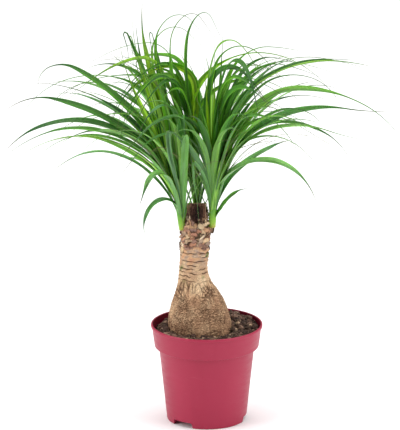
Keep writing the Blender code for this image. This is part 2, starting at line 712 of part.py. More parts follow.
def build_shoot(name, shoot, leaves, home, mat):
    core = turned(name, core_profile(), CORE_SIDES, home, mat)
    freeze(core)
    turn = shoot_axis(shoot).to_track_quat("Z", "Y").to_matrix().to_4x4()
    core.data.transform(Matrix.Translation(shoot.seat) @ turn)
    blades = collection(name + "_blades")
    for index, leaf in enumerate(leaves):
        segments = LEAF_SEGMENTS if index < len(LEAVES[name]) else FILLER_SEGMENTS
        blade_solid(f"{name}_blade_{index}", blade_rings(shoot, leaf, segments), blades)
    union = core.modifiers.new("Join leaves", "BOOLEAN")
    union.operation = "UNION"
    union.operand_type = "COLLECTION"
    union.collection = blades
    union.solver = "MANIFOLD"
    freeze(core)
    for blade in list(blades.objects):
        bpy.data.objects.remove(blade, do_unlink=True)
    bpy.data.collections.remove(blades)
    keep_largest_body(core.data)
    smooth(core, 40)
    return core


def main():
    clear_scene()
    plant = collection("ponytail_palm")
    cutters = collection("cutters")
    build_pot(plant, cutters)
    build_soil(plant, cutters)
    build_trunk(plant, cutters)
    leaf_green = material("leaf_green", (0.07, 0.26, 0.035), 0.45)
    for name, leaves in place_leaves().items():
        build_shoot(name, SHOOTS[name], leaves, plant, leaf_green)


main()
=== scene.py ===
import math
import random
from collections import namedtuple

import bpy
import numpy as np
from mathutils import Matrix, Vector, noise
from mathutils.bvhtree import BVHTree


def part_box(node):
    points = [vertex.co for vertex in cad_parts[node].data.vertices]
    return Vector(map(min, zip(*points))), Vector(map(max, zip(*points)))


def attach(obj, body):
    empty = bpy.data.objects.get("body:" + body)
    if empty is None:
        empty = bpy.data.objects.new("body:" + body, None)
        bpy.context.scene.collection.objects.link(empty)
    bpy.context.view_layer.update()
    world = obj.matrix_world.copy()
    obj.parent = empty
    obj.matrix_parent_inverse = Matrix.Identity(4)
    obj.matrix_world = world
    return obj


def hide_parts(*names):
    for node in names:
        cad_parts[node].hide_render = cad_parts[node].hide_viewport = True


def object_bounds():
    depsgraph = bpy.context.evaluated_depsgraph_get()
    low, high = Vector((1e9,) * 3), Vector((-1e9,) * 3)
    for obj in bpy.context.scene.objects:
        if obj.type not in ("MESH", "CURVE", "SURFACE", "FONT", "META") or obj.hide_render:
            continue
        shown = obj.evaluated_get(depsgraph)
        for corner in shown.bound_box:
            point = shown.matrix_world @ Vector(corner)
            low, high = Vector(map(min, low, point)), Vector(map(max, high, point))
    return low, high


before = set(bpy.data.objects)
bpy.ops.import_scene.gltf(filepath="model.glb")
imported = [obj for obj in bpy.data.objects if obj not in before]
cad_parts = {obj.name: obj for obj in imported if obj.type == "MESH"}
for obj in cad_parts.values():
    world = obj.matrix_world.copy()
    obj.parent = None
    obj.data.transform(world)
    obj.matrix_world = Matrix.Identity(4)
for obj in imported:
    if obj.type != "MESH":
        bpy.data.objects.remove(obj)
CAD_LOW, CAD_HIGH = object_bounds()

# Camera and light
CAMERA_TARGET = Vector((-0.0072, 0.0, 0.227))
CAMERA_DISTANCE = 4.0
CAMERA_ELEVATION = math.radians(15.8)
CAMERA_LENS = 314.1
FLOOR_SIZE = 30.0
WORLD_STRENGTH = 0.24
Softbox = namedtuple("Softbox", "place target size power")
SOFTBOXES = {
    "softbox_top": Softbox((0.0, 0.9, 3.0), (0.0, 0.9, 0.0), (4.4, 4.4), 152.0),
    "softbox_left": Softbox((-2.2, -0.9, 1.0), (0.0, 0.0, 0.2), (1.4, 2.0), 41.0),
    "softbox_right": Softbox((2.2, -0.9, 1.0), (0.0, 0.0, 0.2), (1.4, 2.0), 35.0),
}

# Pot, as in the CAD with rounder edges
RIM_RADIUS = 0.0600
POT_HEIGHT = 0.1060
FOOT_RADIUS = 0.04275
WALL = 0.0012
COLLAR_FOOT = 0.0815        # height of the collar's lower edge
COLLAR_RADIUS = 0.0560      # at its lower edge
BODY_RADIUS = 0.0514        # just under the collar
LIP_THICKNESS = 0.0022
LIP_HEIGHT = 0.0030
FLOOR_RAISE = 0.0066
FOOT_RING_WIDTH = 0.0040
POT_SEGMENTS = 192
ARC_STEPS = 5
NOTCH_BEARINGS = (-128.0, -8.0, 112.0)
NOTCH_WIDTHS = (0.0290, 0.0230)     # at the ground and at the notch's top
NOTCH_HEIGHT = 0.0060
NOTCH_DEPTH = 0.0160
DRAIN_RADIUS = 0.0040
DRAIN_RING = 0.0240
DRAIN_COUNT = 5
DRAIN_FIRST = 20.0

# Trunk, as in the CAD
TrunkRing = namedtuple("TrunkRing", "height x y radius")
STUMP_TOP = 0.2400
STUMP_TILT = math.tan(math.radians(13.0))
TRUNK_RINGS = tuple(TrunkRing(*ring) for ring in (
    (0.0580, -0.0050, 0.0000, 0.0120),
    (0.0630, -0.0052, 0.0000, 0.0220),
    (0.0720, -0.0054, 0.0000, 0.0300),
    (0.0820, -0.0055, 0.0000, 0.0342),
    (0.0910, -0.0057, 0.0000, 0.0351),
    (0.1000, -0.0062, 0.0000, 0.0347),
    (0.1110, -0.0072, 0.0000, 0.0336),
    (0.1210, -0.0076, 0.0000, 0.0316),
    (0.1320, -0.0084, 0.0000, 0.0278),
    (0.1430, -0.0100, 0.0000, 0.0230),
    (0.1530, -0.0126, 0.0000, 0.0184),
    (0.1600, -0.0139, 0.0000, 0.0162),
    (0.1700, -0.0145, 0.0000, 0.0149),
    (0.1800, -0.0138, 0.0000, 0.0152),
    (0.1900, -0.0130, 0.0000, 0.0155),
    (0.2010, -0.0127, 0.0000, 0.0152),
    (0.2080, -0.0111, 0.0005, 0.0165),
    (0.2140, -0.0104, 0.0010, 0.0165),
    (0.2190, -0.0106, 0.0005, 0.0146),
    (0.2235, -0.0110, 0.0000, 0.0122),
    (0.2320, -0.0113, -0.0005, 0.0118),
    (STUMP_TOP, -0.0115, -0.0005, 0.0116),
))
TRUNK_GRAIN = 0.035
RINGED_ABOVE = 0.1500

# Bark
BARK_VALUES = ("tone", "crack", "neck", "wound", "green")
BARK_SEGMENTS = 300
BARK_BANDS = (              # heights, and the rows of points between them
    (0.058, 0.088, 10), (0.088, 0.152, 140), (0.152, 0.190, 105), (0.190, STUMP_TOP, 60))
NECK_BAND = (0.152, 0.190)  # where smooth cork passes into the ringed, flaking neck
# How much the cracks are drawn out up the trunk: heights, and factors there
FISSURE_STRETCH = ((0.05, 0.095, 0.115, 0.135, 0.16), (2.6, 2.2, 1.2, 0.42, 0.22))
FISSURE_WARP = (0.0018, 90.0)       # how far, and how many bends to the metre
FISSURES = ((0.0, 250.0, 0.15), (5.0, 400.0, 0.16))     # noise shift, scale and width
FISSURE_TOP = (0.162, 0.152)
FISSURE_DEPTH = 0.0011
SCAR_STEP = 0.0043          # height from one leaf scar to the next
SCAR_BAND = ((0.153, 0.160), (0.196, 0.205))
SCAR_DRIFT = 0.35           # as a share of the step, and so the next two
SCAR_TILT = 0.18
SCAR_WIDTH = 0.12
SCAR_DEPTH = 0.0013
SCAR_LIP = 0.0006
SOFT_LUMPS = (0.0005, 45.0)     # how high, and how many to the metre
SMALL_LUMPS = (0.00025, 420.0)
KNOB_HEIGHT = 0.2105
KNOB_BEARING = -0.15        # radians
KNOB_TALL = 0.012
KNOB_WIDE = 0.42
KNOB_RISE = 0.0016
FLAKE_SEED = 14
FLAKE_BAND = (0.1915, 0.2345)
FLAKE_STEP = 0.0033         # height from one row of flakes to the next
FLAKE_STRAY = 0.0022
FLAKE_GAP = (0.30, 0.58)    # radians from one flake to the next
FLAKE_BED = ((0.190, 0.196), (0.232, 0.238))
FLAKE_SINK = 0.0012         # how far the neck lies back under its flakes
FLAKE_SHADE = ((0.194, 0.199), (0.232, 0.237))
FLAKE_COLUMNS = 8
FLAKE_ROWS = 6
FLAKE_WIDTH = (0.0050, 0.0110)
FLAKE_HEIGHT = (0.0034, 0.0066)
FLAKE_LIFT = (0.0001, 0.0007)
FLAKE_CURL = (0.0008, 0.0030)
FLAKE_WRINKLE = 0.00018
FLAKE_THICKNESS = 0.0004
FLAKE_LEAN = 0.6
FLAKE_SLOPE = 0.55
FLAKE_RAGGED = 0.0005
FLAKE_LIMITS = (0.178, STUMP_TOP - 0.0005)
MOSS_FROM = (0.150, 0.165)
MOSSY_SHARE = 0.04          # of the flakes
BARE_SHARE = 0.85           # of the places for flakes over the wound
WOUND_BEARING = -82.0
WOUND_FOOT = (0.2190, 0.2215)
WOUND_WIDENS = (0.2200, 0.2310)
WOUND_WIDTHS = (20.0, 64.0)         # degrees to each side, below and above
WOUND_RAGGED = (26.0, 0.004)        # degrees and metres by which its edge strays
WOUND_DEPTH = 0.0016
WOUND_RELIEF = 0.0011
WOUND_FIBRES = 90
WOUND_FIBRE_SPREAD = 32.0
WOUND_FIBRE_FOOT = (0.2225, 0.2310)
WOUND_FIBRE_LENGTH = (0.004, 0.012)
WOUND_FIBRE_TOP = 0.2385
WOUND_FIBRE_RADIUS = (0.00025, 0.00060)
WOUND_FIBRE_SWAY = 0.12
WOUND_FIBRE_OFF = (-0.0008, 0.0006)     # how far its middle stands off the neck
WOUND_FIBRE_BOW = (0.0, 0.0012)         # and how much farther its ends do
WOUND_FIBRE_SHAPE = (0.4, 0.8, 1, 1, 1, 0.9, 0.7, 0.3)
CUT_RINGS = (0.93, 0.86, 0.76, 0.65, 0.53, 0.41, 0.29, 0.17, 0.07)
CUT_DISH = 0.0016           # how far the stump's cut is dished
CUT_ROUGHNESS = 0.0007
RIM_BAND = (0.236, STUMP_TOP)
RIM_ROUGHNESS = 0.0006
ROOTLET_BEARING = 0.05      # radians
ROOTLET_HEIGHT = 0.1770
ROOTLET_LENGTH = 0.0075
ROOTLET_DROP = 0.0012
ROOTLET_SINK = 0.0008
ROOTLET_RADIUS = 0.00035
ROOTLET_STEPS = 10

# Shoots, as in the CAD
Shoot = namedtuple("Shoot", "seat lean bearing fillers first_filler")
SHOOTS = {
    "shoot_left": Shoot((-0.0262, -0.0050, 0.2165), 8.0, 185.0, 19, 255.0),
    "shoot_right": Shoot((0.0058, -0.0040, 0.2190), 4.0, 350.0, 21, 290.0),
    "shoot_back": Shoot((-0.0104, 0.0168, 0.2165), 8.0, 90.0, 16, 60.0),
}
CORE_LENGTH = 0.0440

# Leaves, as in the CAD
PATH_STEPS = 80
CREASE_TURN = 90.0
CREASE_SHARPNESS = 4.0
BEND_CROWDING = 0.5
GOLDEN_ANGLE = 137.5
FILLER_SEED = 4
FILLER_RISE = (89.0, 80.0)
FILLER_DROOP = (30.0, 115.0)
FILLER_ARCH = 1.6
FILLER_LENGTH = (0.170, 0.230)
LENGTH_SPREAD = (0.85, 1.12)
WIDTH_SPREAD = (0.0052, 0.0084)
TAIL_SPREAD = (0.70, 0.90)
SWEEP_SPREAD = 18.0
ROLL_SPREAD = 25.0
TURN_STEP = 9.0             # fillers turn by such steps to clear the other shoots
TURN_TRIES = 20
CAD_MATCH = 0.0025          # how near the CAD's surface a leaf's end has to lie
CAD_MATCH_FROM = 0.80       # the share of the leaf where its end begins

# Each leaf's bearing, sweep, length, width, tail, roll and slopes are the CAD's; the
# last number is its age, from 0, fresh green, to 1, dark and bluish.
Leaf = namedtuple("Leaf", "bearing sweep length width tail roll slopes age")
LEAF_ROWS = {
    "shoot_left": (
        (166, -10, 0.246, 0.0085, 0.90, -60, (84, 80, 77, 75, 78, 94), 0.1),
        (160, 8, 0.228, 0.0055, 0.90, -30, (80, 75, 73, 74, 79, 87), 0.2),
        (170, -14, 0.258, 0.0078, 0.85, -55, (76, 78, 78, 78, 77, 75, 72, 68, 64, -108, -76), 0.2),
        (155, 10, 0.235, 0.0060, 0.90, -30, (78, 79, 78, 71, 15, -30), 0.3),
        (182, -8, 0.268, 0.0085, 0.88, -25, (80, 76, 72, 66, 59, 50, 42, 36, 26, -22, -95), 0.5),
        (165, 12, 0.320, 0.0072, 0.60, -15, (84, 86, 60, 8, -27, -70), 0.6),
        (175, -10, 0.270, 0.0066, 0.65, -20, (84, 70, 50, 28, 8, -15), 0.7),
        (185, 8, 0.268, 0.0092, 0.85, -30, (84, 65, 43, 28, 12, -40), 0.2),
        (191, -14, 0.266, 0.0078, 0.92, -20, (90, 63, 40, 15, -18, -50), 0.5),
        (199, 10, 0.270, 0.0072, 0.80, -15, (84, 60, 37, 15, -12, -35), 0.6),
        (145, -8, 0.290, 0.0055, 0.75, 0, (84, 73, 51, 13, -24, -52), 0.4),
        (135, 12, 0.240, 0.0060, 0.80, 0, (75, 56, 38, 12, -22, -40), 0.7),
        (242, -10, 0.208, 0.0085, 0.90, 0, (86, 92, 86, 62, -12, -55), 1.0),
        (225, 8, 0.125, 0.0085, 0.90, 0, (72, 72, 70, 20, -60, -60), 0.9),
        (140, -14, 0.135, 0.0060, 0.85, 0, (82, 66, 42, 12, -8, -8), 0.8),
        (205, 10, 0.092, 0.0060, 0.90, -10, (90, 66, 22, -36, -76, -105), 0.9),
        (168, -8, 0.200, 0.0050, 0.80, 0, (74, 80, 84, 84, 78, 66), 0.4),
    ),
    "shoot_right": (
        (216, 12, 0.238, 0.0085, 0.85, 10, (84, 88, 70, 12, -32, -26), 0.5),
        (235, -10, 0.262, 0.0085, 0.85, 20, (88, 76, 64, 53, 44, 36, -95, -112, -106, -98, -92), 1.0),
        (0, 8, 0.270, 0.0092, 0.78, 25, (82, 72, 43, 13, -10, 2), 0.8),
        (335, -14, 0.192, 0.0085, 0.85, 20, (94, 64, 33, 3, -35, -70), 0.9),
        (35, 10, 0.145, 0.0072, 0.90, 10, (82, 62, 38, 21, 9, 2), 0.8),
        (350, -8, 0.328, 0.0078, 0.75, 25, (77, 78, 54, 1, -24, -60), 0.6),
        (10, 12, 0.300, 0.0072, 0.88, 15, (88, 82, 65, 26, -4, -18), 0.4),
        (30, -10, 0.320, 0.0060, 0.60, 5, (84, 86, 64, 16, -14, -22), 0.6),
        (40, 8, 0.250, 0.0066, 0.70, 20, (80, 90, 80, 42, 8, -12), 0.2),
        (335, -14, 0.297, 0.0085, 0.65, 45, (80, 90, 95, 96, 92, 82, 66, 20, -30, -50, -30), 0.2),
        (20, 10, 0.275, 0.0072, 0.70, 35, (76, 91, 88, 64, -8, -22), 0.2),
        (320, -8, 0.275, 0.0078, 0.60, 40, (76, 90, 86, 56, -5, -38), 0.3),
        (345, 12, 0.278, 0.0066, 0.70, 15, (79, 82, 70, 40, -18, -86), 0.5),
        (325, -10, 0.225, 0.0078, 0.75, 15, (82, 72, 60, 38, -4, -40), 0.7),
        (345, 8, 0.230, 0.0045, 0.50, 0, (82, 82, 72, 22, -30, -30), 0.5),
        (320, -14, 0.240, 0.0066, 0.75, 10, (86, 82, 68, 20, -24, -56), 0.6),
        (315, 10, 0.205, 0.0092, 0.75, 10, (76, 78, 72, 56, 15, -50), 0.5),
        (35, -8, 0.165, 0.0066, 0.90, 25, (92, 82, 71, 59, 46, 34), 0.3),
        (20, 12, 0.216, 0.0050, 0.70, 50, (89, 89, 89, 89, 90, 90), 0.2),
        (5, 10, 0.058, 0.0055, 0.85, 10, (62, 60, 55, 45, 20, -5), 0.6),
        (345, -8, 0.042, 0.0050, 0.85, 15, (62, 60, 58, 56, 52, 46), 0.6),
    ),
    "shoot_back": (
        (177, -10, 0.303, 0.0060, 0.60, -30, (84, 84, 84, 83, 82, 78, 66, -4, -22, -32, -20), 0.1),
        (160, 8, 0.300, 0.0055, 0.70, 0, (80, 90, 72, 4, -19, -55), 0.1),
        (214, -14, 0.285, 0.0066, 0.75, -45, (80, 86, 89, 88, 82, 74, 59, -20, -45, -58, -46), 0.2),
        (210, 10, 0.285, 0.0092, 0.80, -55, (82, 84, 85, 86, 85, 80, 20, -25, -54, -72, -92), 0.1),
        (12, -8, 0.330, 0.0085, 0.60, 45, (92, 99, 98, 90, 75, 46, 20, -5, -26, -42, -60), 0.1),
        (30, 12, 0.292, 0.0072, 0.68, 50, (85, 95, 102, 106, 106, 104, 98, 84, 30, -52, -50), 0.1),
        (95, -6, 0.197, 0.0078, 0.85, 5, (82, 72, 50, 22, -8, -36), 0.3),
    ),
}

# Finer leaves
LEAF_VALUES = ("along", "across", "under", "age", "tone", "dry")
BLADE_SEGMENTS = 56
BLADE_COLUMNS = 9
BLADE_THICKNESS = 0.00055
EDGE_THINNING = 0.72
TIP_THINNING = 0.55
BLADE_WIDENING = 1.06       # against the CAD's leaf
ROOT_WIDTH = 0.48           # shares of the full width
TAIL_WIDTH = 0.27
BROAD_FROM = 0.26           # shares of the length
NARROW_FROM = 0.25
NARROWING = 3.0
BLADE_FOLD = (math.radians(18.0), math.radians(44.0))   # of each half of a blade
BLADE_CUP = 1.15
FLATTENING = 0.6
FLATTENING_SPAN = (0.35, 0.90)
TAIL_FOLD = math.radians(54.0)      # a dried tip rolls up into a thread
TAIL_ROLLING = 0.15         # share of the leaf over which it does so
ROLL_SPAN = (0.0, 0.2)
FRONT_TURN = 26.0           # degrees by which the blades at the sides turn to the front
FRONT_SPAN = (0.1, 0.6)
TWIST_SPREAD = 16.0
RIPPLE = 0.10
RIPPLE_SPAN = (0.15, 0.4)
RIPPLE_WAVES = (20.0, 34.0)
SHEATH_SHARE = 0.10         # how far up a leaf its clasping base reaches
SHEATH_FOLD = math.radians(30.0)
SHEATH_WIDENING = 0.95
SHEATH_SPREAD = 0.0022      # how far the outermost bases stand off the shoot's axis
YOUNG_SPREAD = 0.35         # the innermost ones' share of it
UPRIGHT_SLOPE = 55.0        # halfway along a leaf that counts as upright
HERO_COMPANIONS = (1, 3)    # slimmer leaves beside an arching and an upright leaf
FILLER_COMPANIONS = (0, 1)
COMPANIONS_FROM = 0.20      # shorter leaves have none
COMPANION_ASIDE = (5.0, 30.0)
COMPANION_TILT = (-10.0, 7.0)
COMPANION_LENGTH = ((0.68, 1.00), (0.86, 1.05))     # again for the two kinds
COMPANION_WIDTH = ((0.42, 0.72), (0.70, 1.00))
COMPANION_AGEING = 0.35
COMPANION_SEGMENTS = 44
COMPANION_COLUMNS = 7
HAIR_COUNT = 8              # thin dry strands in each shoot
HAIR_SEGMENTS = 40
HAIR_COLUMNS = 3
HAIR_TURN = 40.0            # from the shoot's first filler
HAIR_RISE = (66.0, 88.0)
HAIR_DROOP = (60.0, 125.0)
HAIR_ARCH = 1.3
HAIR_SWEEP = 30.0
HAIR_LENGTH = (0.14, 0.235)
HAIR_WIDTH = (0.0018, 0.0032)
HAIR_TAIL = (0.4, 0.7)
HAIR_DRYING = (0.15, 0.6)   # shares of the strand over which it dries
HAIR_DRYNESS = (0.4, 1.0)
STRAND_MARGIN = 0.003       # inside the CAD's box
STRAND_SHORTENING = 0.95
STEM_RADIUS = 0.0040
STEM_FOOT = -0.004
STEM_SHARE = 0.8            # of the CAD core's length
STEM_STEPS = 14
STEM_SIDES = 24

# Peat
CRUMB_SEED = 21
CRUMB_COUNT = 1500
CRUMB_SIZE = (0.0006, 0.0030)       # the smallest, and how much larger one may be
CRUMB_REACH = (0.985, 0.99)         # shares of the soil's radius: of middles and of edges
CRUMB_LIFT = (0.1, 0.9)             # share of its size by which one stands out
CRUMB_SQUEEZE = ((0.6, 1.5), (0.5, 1.1), (0.45, 0.9))
CRUMB_DENTS = 0.65
CRUMB_TILT = 0.8
FIBRE_SEED = 5
FIBRE_COUNT = 190
FIBRE_REACH = (0.86, 0.97)
FIBRE_LENGTH = (0.006, 0.016)
FIBRE_RADIUS = (0.00015, 0.00055)
FIBRE_RAISE = (0.0008, 0.0026)
FIBRE_ARCH = 0.005
FIBRE_STEPS = 14
FIBRE_CURL = 0.385          # radians a step, and so the next
FIBRE_WANDER = 0.25
FIBRE_THINNING = 0.6
TRUNK_HOLE = 0.016          # a surface lower than this under the soil's top is no soil


# ------------------------------------------------------------- mesh helpers
def add_object(name, data):
    obj = bpy.data.objects.new(name, data)
    bpy.context.scene.collection.objects.link(obj)
    return obj


def add_mesh(name, vertices, faces, mat):
    mesh = bpy.data.meshes.new(name)
    mesh.from_pydata([tuple(v) for v in vertices], [], faces)
    mesh.polygons.foreach_set("use_smooth", [True] * len(mesh.polygons))
    mesh.materials.append(mat)
    mesh.update()
    return add_object(name, mesh)


def add_values(obj, name, values):
    """A number for each point, for the material to read by its name."""
    layer = obj.data.attributes.new(name, "FLOAT", "POINT")
    layer.data.foreach_set("value", np.asarray(values, np.float32))


def place(obj, slot, *nodes):
    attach(obj, "root")
    if nodes:
        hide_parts(*nodes)


class Parts:
    """Gathers small bodies into one mesh; a value that a body leaves out is 0."""

    def __init__(self, *names):
        self.vertices, self.faces = [], []
        self.values = {name: [] for name in names}

    def add(self, vertices, faces, **values):
        first = len(self.vertices)
        self.vertices += [tuple(v) for v in vertices]
        self.faces += [tuple(first + i for i in face) for face in faces]
        for name, kept in self.values.items():
            value = values.get(name, 0.0)
            kept += list(value) if np.ndim(value) else [value] * len(vertices)

    def build(self, name, mat):
        obj = add_mesh(name, self.vertices, self.faces, mat)
        for key, kept in self.values.items():
            add_values(obj, key, kept)
        return obj


def smooth_step(low, high, value):
    share = np.clip((np.asarray(value, float) - low) / (high - low), 0.0, 1.0)
    return share * share * (3.0 - 2.0 * share)


def band(height, rise, fall):
    """From 0 to 1 between the first two heights, and back to 0 between the others."""
    return smooth_step(*rise, height) * smooth_step(*fall[::-1], height)


def curve_through(x, xs, ys):
    """A smooth curve through the points (xs, ys), read at x."""
    xs, ys = np.asarray(xs, float), np.asarray(ys, float)
    slope = np.gradient(ys, xs)
    i = np.clip(np.searchsorted(xs, x) - 1, 0, len(xs) - 2)
    step = xs[i + 1] - xs[i]
    t = (x - xs[i]) / step
    start = (1 + 2 * t) * (1 - t) ** 2 * ys[i] + t * (1 - t) ** 2 * step * slope[i]
    end = t * t * (3 - 2 * t) * ys[i + 1] + t * t * (t - 1) * step * slope[i + 1]
    return start + end


def on_circle(radius, bearing):
    angle = math.radians(bearing)
    return Vector((radius * math.cos(angle), radius * math.sin(angle), 0.0))


def turns(count):
    """Angles evenly spaced round a circle."""
    return 2 * np.pi * np.arange(count) / count


def circle(angle, radius=1.0, height=0.0):
    """Points round Z; any of the three may be an array."""
    return np.stack([radius * np.cos(angle), radius * np.sin(angle), 0 * angle + height], axis=-1)


def off_angle(angle, bearing):
    """The turn from a bearing to an angle, from -pi to pi."""
    return (angle - bearing + np.pi) % (2 * np.pi) - np.pi


def noise_at(points, scale):
    """Noise at each point, from about -1 to 1."""
    scaled = np.asarray(points) * scale
    return np.array([noise.noise(Vector(p)) for p in scaled])


def ring_faces(rows, count):
    """Faces between rings of points that run round the same way."""
    grid = np.arange(rows * count).reshape(rows, count)
    after = np.roll(grid, -1, axis=1)
    corners = (grid[:-1], after[:-1], after[1:], grid[1:])
    return np.stack(corners, axis=-1).reshape(-1, 4).tolist()


def loft_faces(rows, count):
    """Faces of a loft through rings of points, closed at both ends."""
    last = (rows - 1) * count
    ends = [tuple(reversed(range(count))), tuple(range(last, last + count))]
    return ring_faces(rows, count) + ends


def tube(path, radii, sides):
    """Vertices and faces of a round strand along a path, closed at both ends."""
    path = np.asarray(path, float)
    along = np.gradient(path, axis=0)
    along /= np.linalg.norm(along, axis=1)[:, None]
    helper = np.where(np.abs(along[:, 2:]) > 0.9, [[1.0, 0.0, 0.0]], [[0.0, 0.0, 1.0]])
    side = np.cross(helper, along)
    side /= np.linalg.norm(side, axis=1)[:, None]
    up = np.cross(along, side)
    angle = turns(sides)
    offset = (side[:, None, :] * np.cos(angle)[None, :, None]
              + up[:, None, :] * np.sin(angle)[None, :, None])
    radii = np.asarray(radii, float)[:, None, None]
    vertices = (path[:, None, :] + offset * radii).reshape(-1, 3)
    return vertices, loft_faces(len(path), sides)


def surface_tree(node):
    """The surface of one of the CAD's bodies, to look places up on."""
    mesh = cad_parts[node].data
    return BVHTree.FromPolygons([v.co.copy() for v in mesh.vertices],
                                [tuple(p.vertices) for p in mesh.polygons])


# --------------------------------------------------------- material helpers
class Look:
    """A procedural material on one Principled shader, with short ways to add nodes."""

    def __init__(self, name, roughness=0.5, specular=0.5):
        self.material = bpy.data.materials.new(name)
        self.material.use_nodes = True
        self.tree = self.material.node_tree
        self.shader = self.tree.nodes["Principled BSDF"]
        self.shader.inputs["Roughness"].default_value = roughness
        self.shader.inputs["Specular IOR Level"].default_value = specular

    def feed(self, socket, value):
        if isinstance(value, bpy.types.NodeSocket):
            self.tree.links.new(value, socket)
        elif value is not None:
            socket.default_value = value

    def node(self, kind, inputs=(), **settings):
        """A new node; its inputs are fed by name or by place, its settings set."""
        node = self.tree.nodes.new("ShaderNode" + kind)
        for key, value in settings.items():
            setattr(node, key, value)
        for key, value in dict(inputs).items():
            self.feed(node.inputs[key], value)
        return node

    def coordinates(self, scale=(1, 1, 1)):
        place = self.node("TexCoord").outputs["Object"]
        return self.node("Mapping", {"Vector": place, "Scale": scale}).outputs["Vector"]

    def value(self, name):
        return self.node("Attribute", attribute_name=name).outputs["Fac"]

    def vector(self, x, y, z):
        return self.node("CombineXYZ", enumerate((x, y, z))).outputs[0]

    def noise(self, vector, scale, detail=3.0, roughness=0.55, distortion=0.0):
        names = ("Vector", "Scale", "Detail", "Roughness", "Distortion")
        values = (vector, scale, detail, roughness, distortion)
        return self.node("TexNoise", zip(names, values)).outputs["Fac"]

    def math(self, operation, *values):
        return self.node("Math", enumerate(values), operation=operation).outputs[0]

    def times(self, a, b):
        return self.math("MULTIPLY", a, b)

    def plus(self, a, b):
        return self.math("ADD", a, b)

    def span(self, value, low, high, out_low=0.0, out_high=1.0):
        names = ("Value", "From Min", "From Max", "To Min", "To Max")
        values = zip(names, (value, low, high, out_low, out_high))
        return self.node("MapRange", values, interpolation_type="SMOOTHSTEP").outputs[0]

    def threads(self, vector, scale, width):
        """Thin winding lines: 1 along the middle level of a noise, 0 away from it."""
        level = self.noise(vector, scale, 2.0, 0.5, 0.6)
        away = self.math("ABSOLUTE", self.math("SUBTRACT", level, 0.5))
        return self.span(away, 0.0, width, 1.0, 0.0)

    def ramp(self, value, *stops):
        node = self.node("ValToRGB", {"Fac": value})
        elements = node.color_ramp.elements
        while len(elements) < len(stops):
            elements.new(1.0)
        for element, (position, colour) in zip(elements, stops):
            element.position = position
            element.color = (*colour, 1.0)
        return node.outputs["Color"]

    def mix(self, share, a, b):
        node = self.node("Mix", {"Factor": share}, data_type="RGBA")
        ends = [socket for socket in node.inputs if socket.type == "RGBA"]
        for socket, value in zip(ends, (a, b)):
            self.feed(socket, (*value, 1.0) if isinstance(value, tuple) else value)
        return next(socket for socket in node.outputs if socket.type == "RGBA")

    def coats(self, colour, *coats):
        """Colours laid over the first in turn, each by a share or by a value's span."""
        for tint, where, *limits in coats:
            share = self.span(where, *limits) if limits else where
            colour = self.mix(share, colour, tint)
        return colour

    def bump(self, height, strength, distance):
        node = self.node("Bump", {"Height": height, "Strength": strength, "Distance": distance})
        self.feed(self.shader.inputs["Normal"], node.outputs["Normal"])

    def finish(self, colour, roughness=None):
        self.feed(self.shader.inputs["Base Color"], colour)
        self.feed(self.shader.inputs["Roughness"], roughness)
        return self.material


# ---------------------------------------------------------------- materials
def pot_look():
    """Satin injection-moulded plastic with faint flow marks and scuffs; the inner wall is painted
    darker as shade.
    """
    look = Look("pot_satin_plastic", specular=0.36)
    grain = look.noise(look.coordinates(), 2400.0, 2.0)
    flow = look.noise(look.coordinates((14, 14, 6)), 1.0, 3.0)
    scuffs = look.noise(look.coordinates((50, 50, 260)), 1.0, 5.0, 0.7)
    colour = look.coats(
        (0.325, 0.013, 0.046),
        ((0.360, 0.017, 0.055), flow, 0.3, 0.7),
        ((0.52, 0.10, 0.16), scuffs, 0.60, 0.82, 0.0, 0.30),
        # painted shade: the inner wall darker than the rest of the plastic
        ((0.200, 0.004, 0.024), look.value("inside")))
    look.bump(look.plus(grain, look.times(scuffs, 0.6)), 0.10, 0.0003)
    return look.finish(colour, look.span(scuffs, 0.35, 0.75, 0.38, 0.52))


def leaf_tint(look, tone, age):
    """Yellowish to dark by tone, and fresher or bluer by age."""
    fresh = look.ramp(tone, (0.12, (0.035, 0.200, 0.001)), (0.5, (0.170, 0.540, 0.003)),
                      (0.85, (0.500, 0.880, 0.015)))
    mature = look.ramp(tone, (0.12, (0.004, 0.052, 0.005)), (0.5, (0.045, 0.235, 0.022)),
                       (0.85, (0.250, 0.560, 0.150)))
    return look.mix(age, fresh, mature)


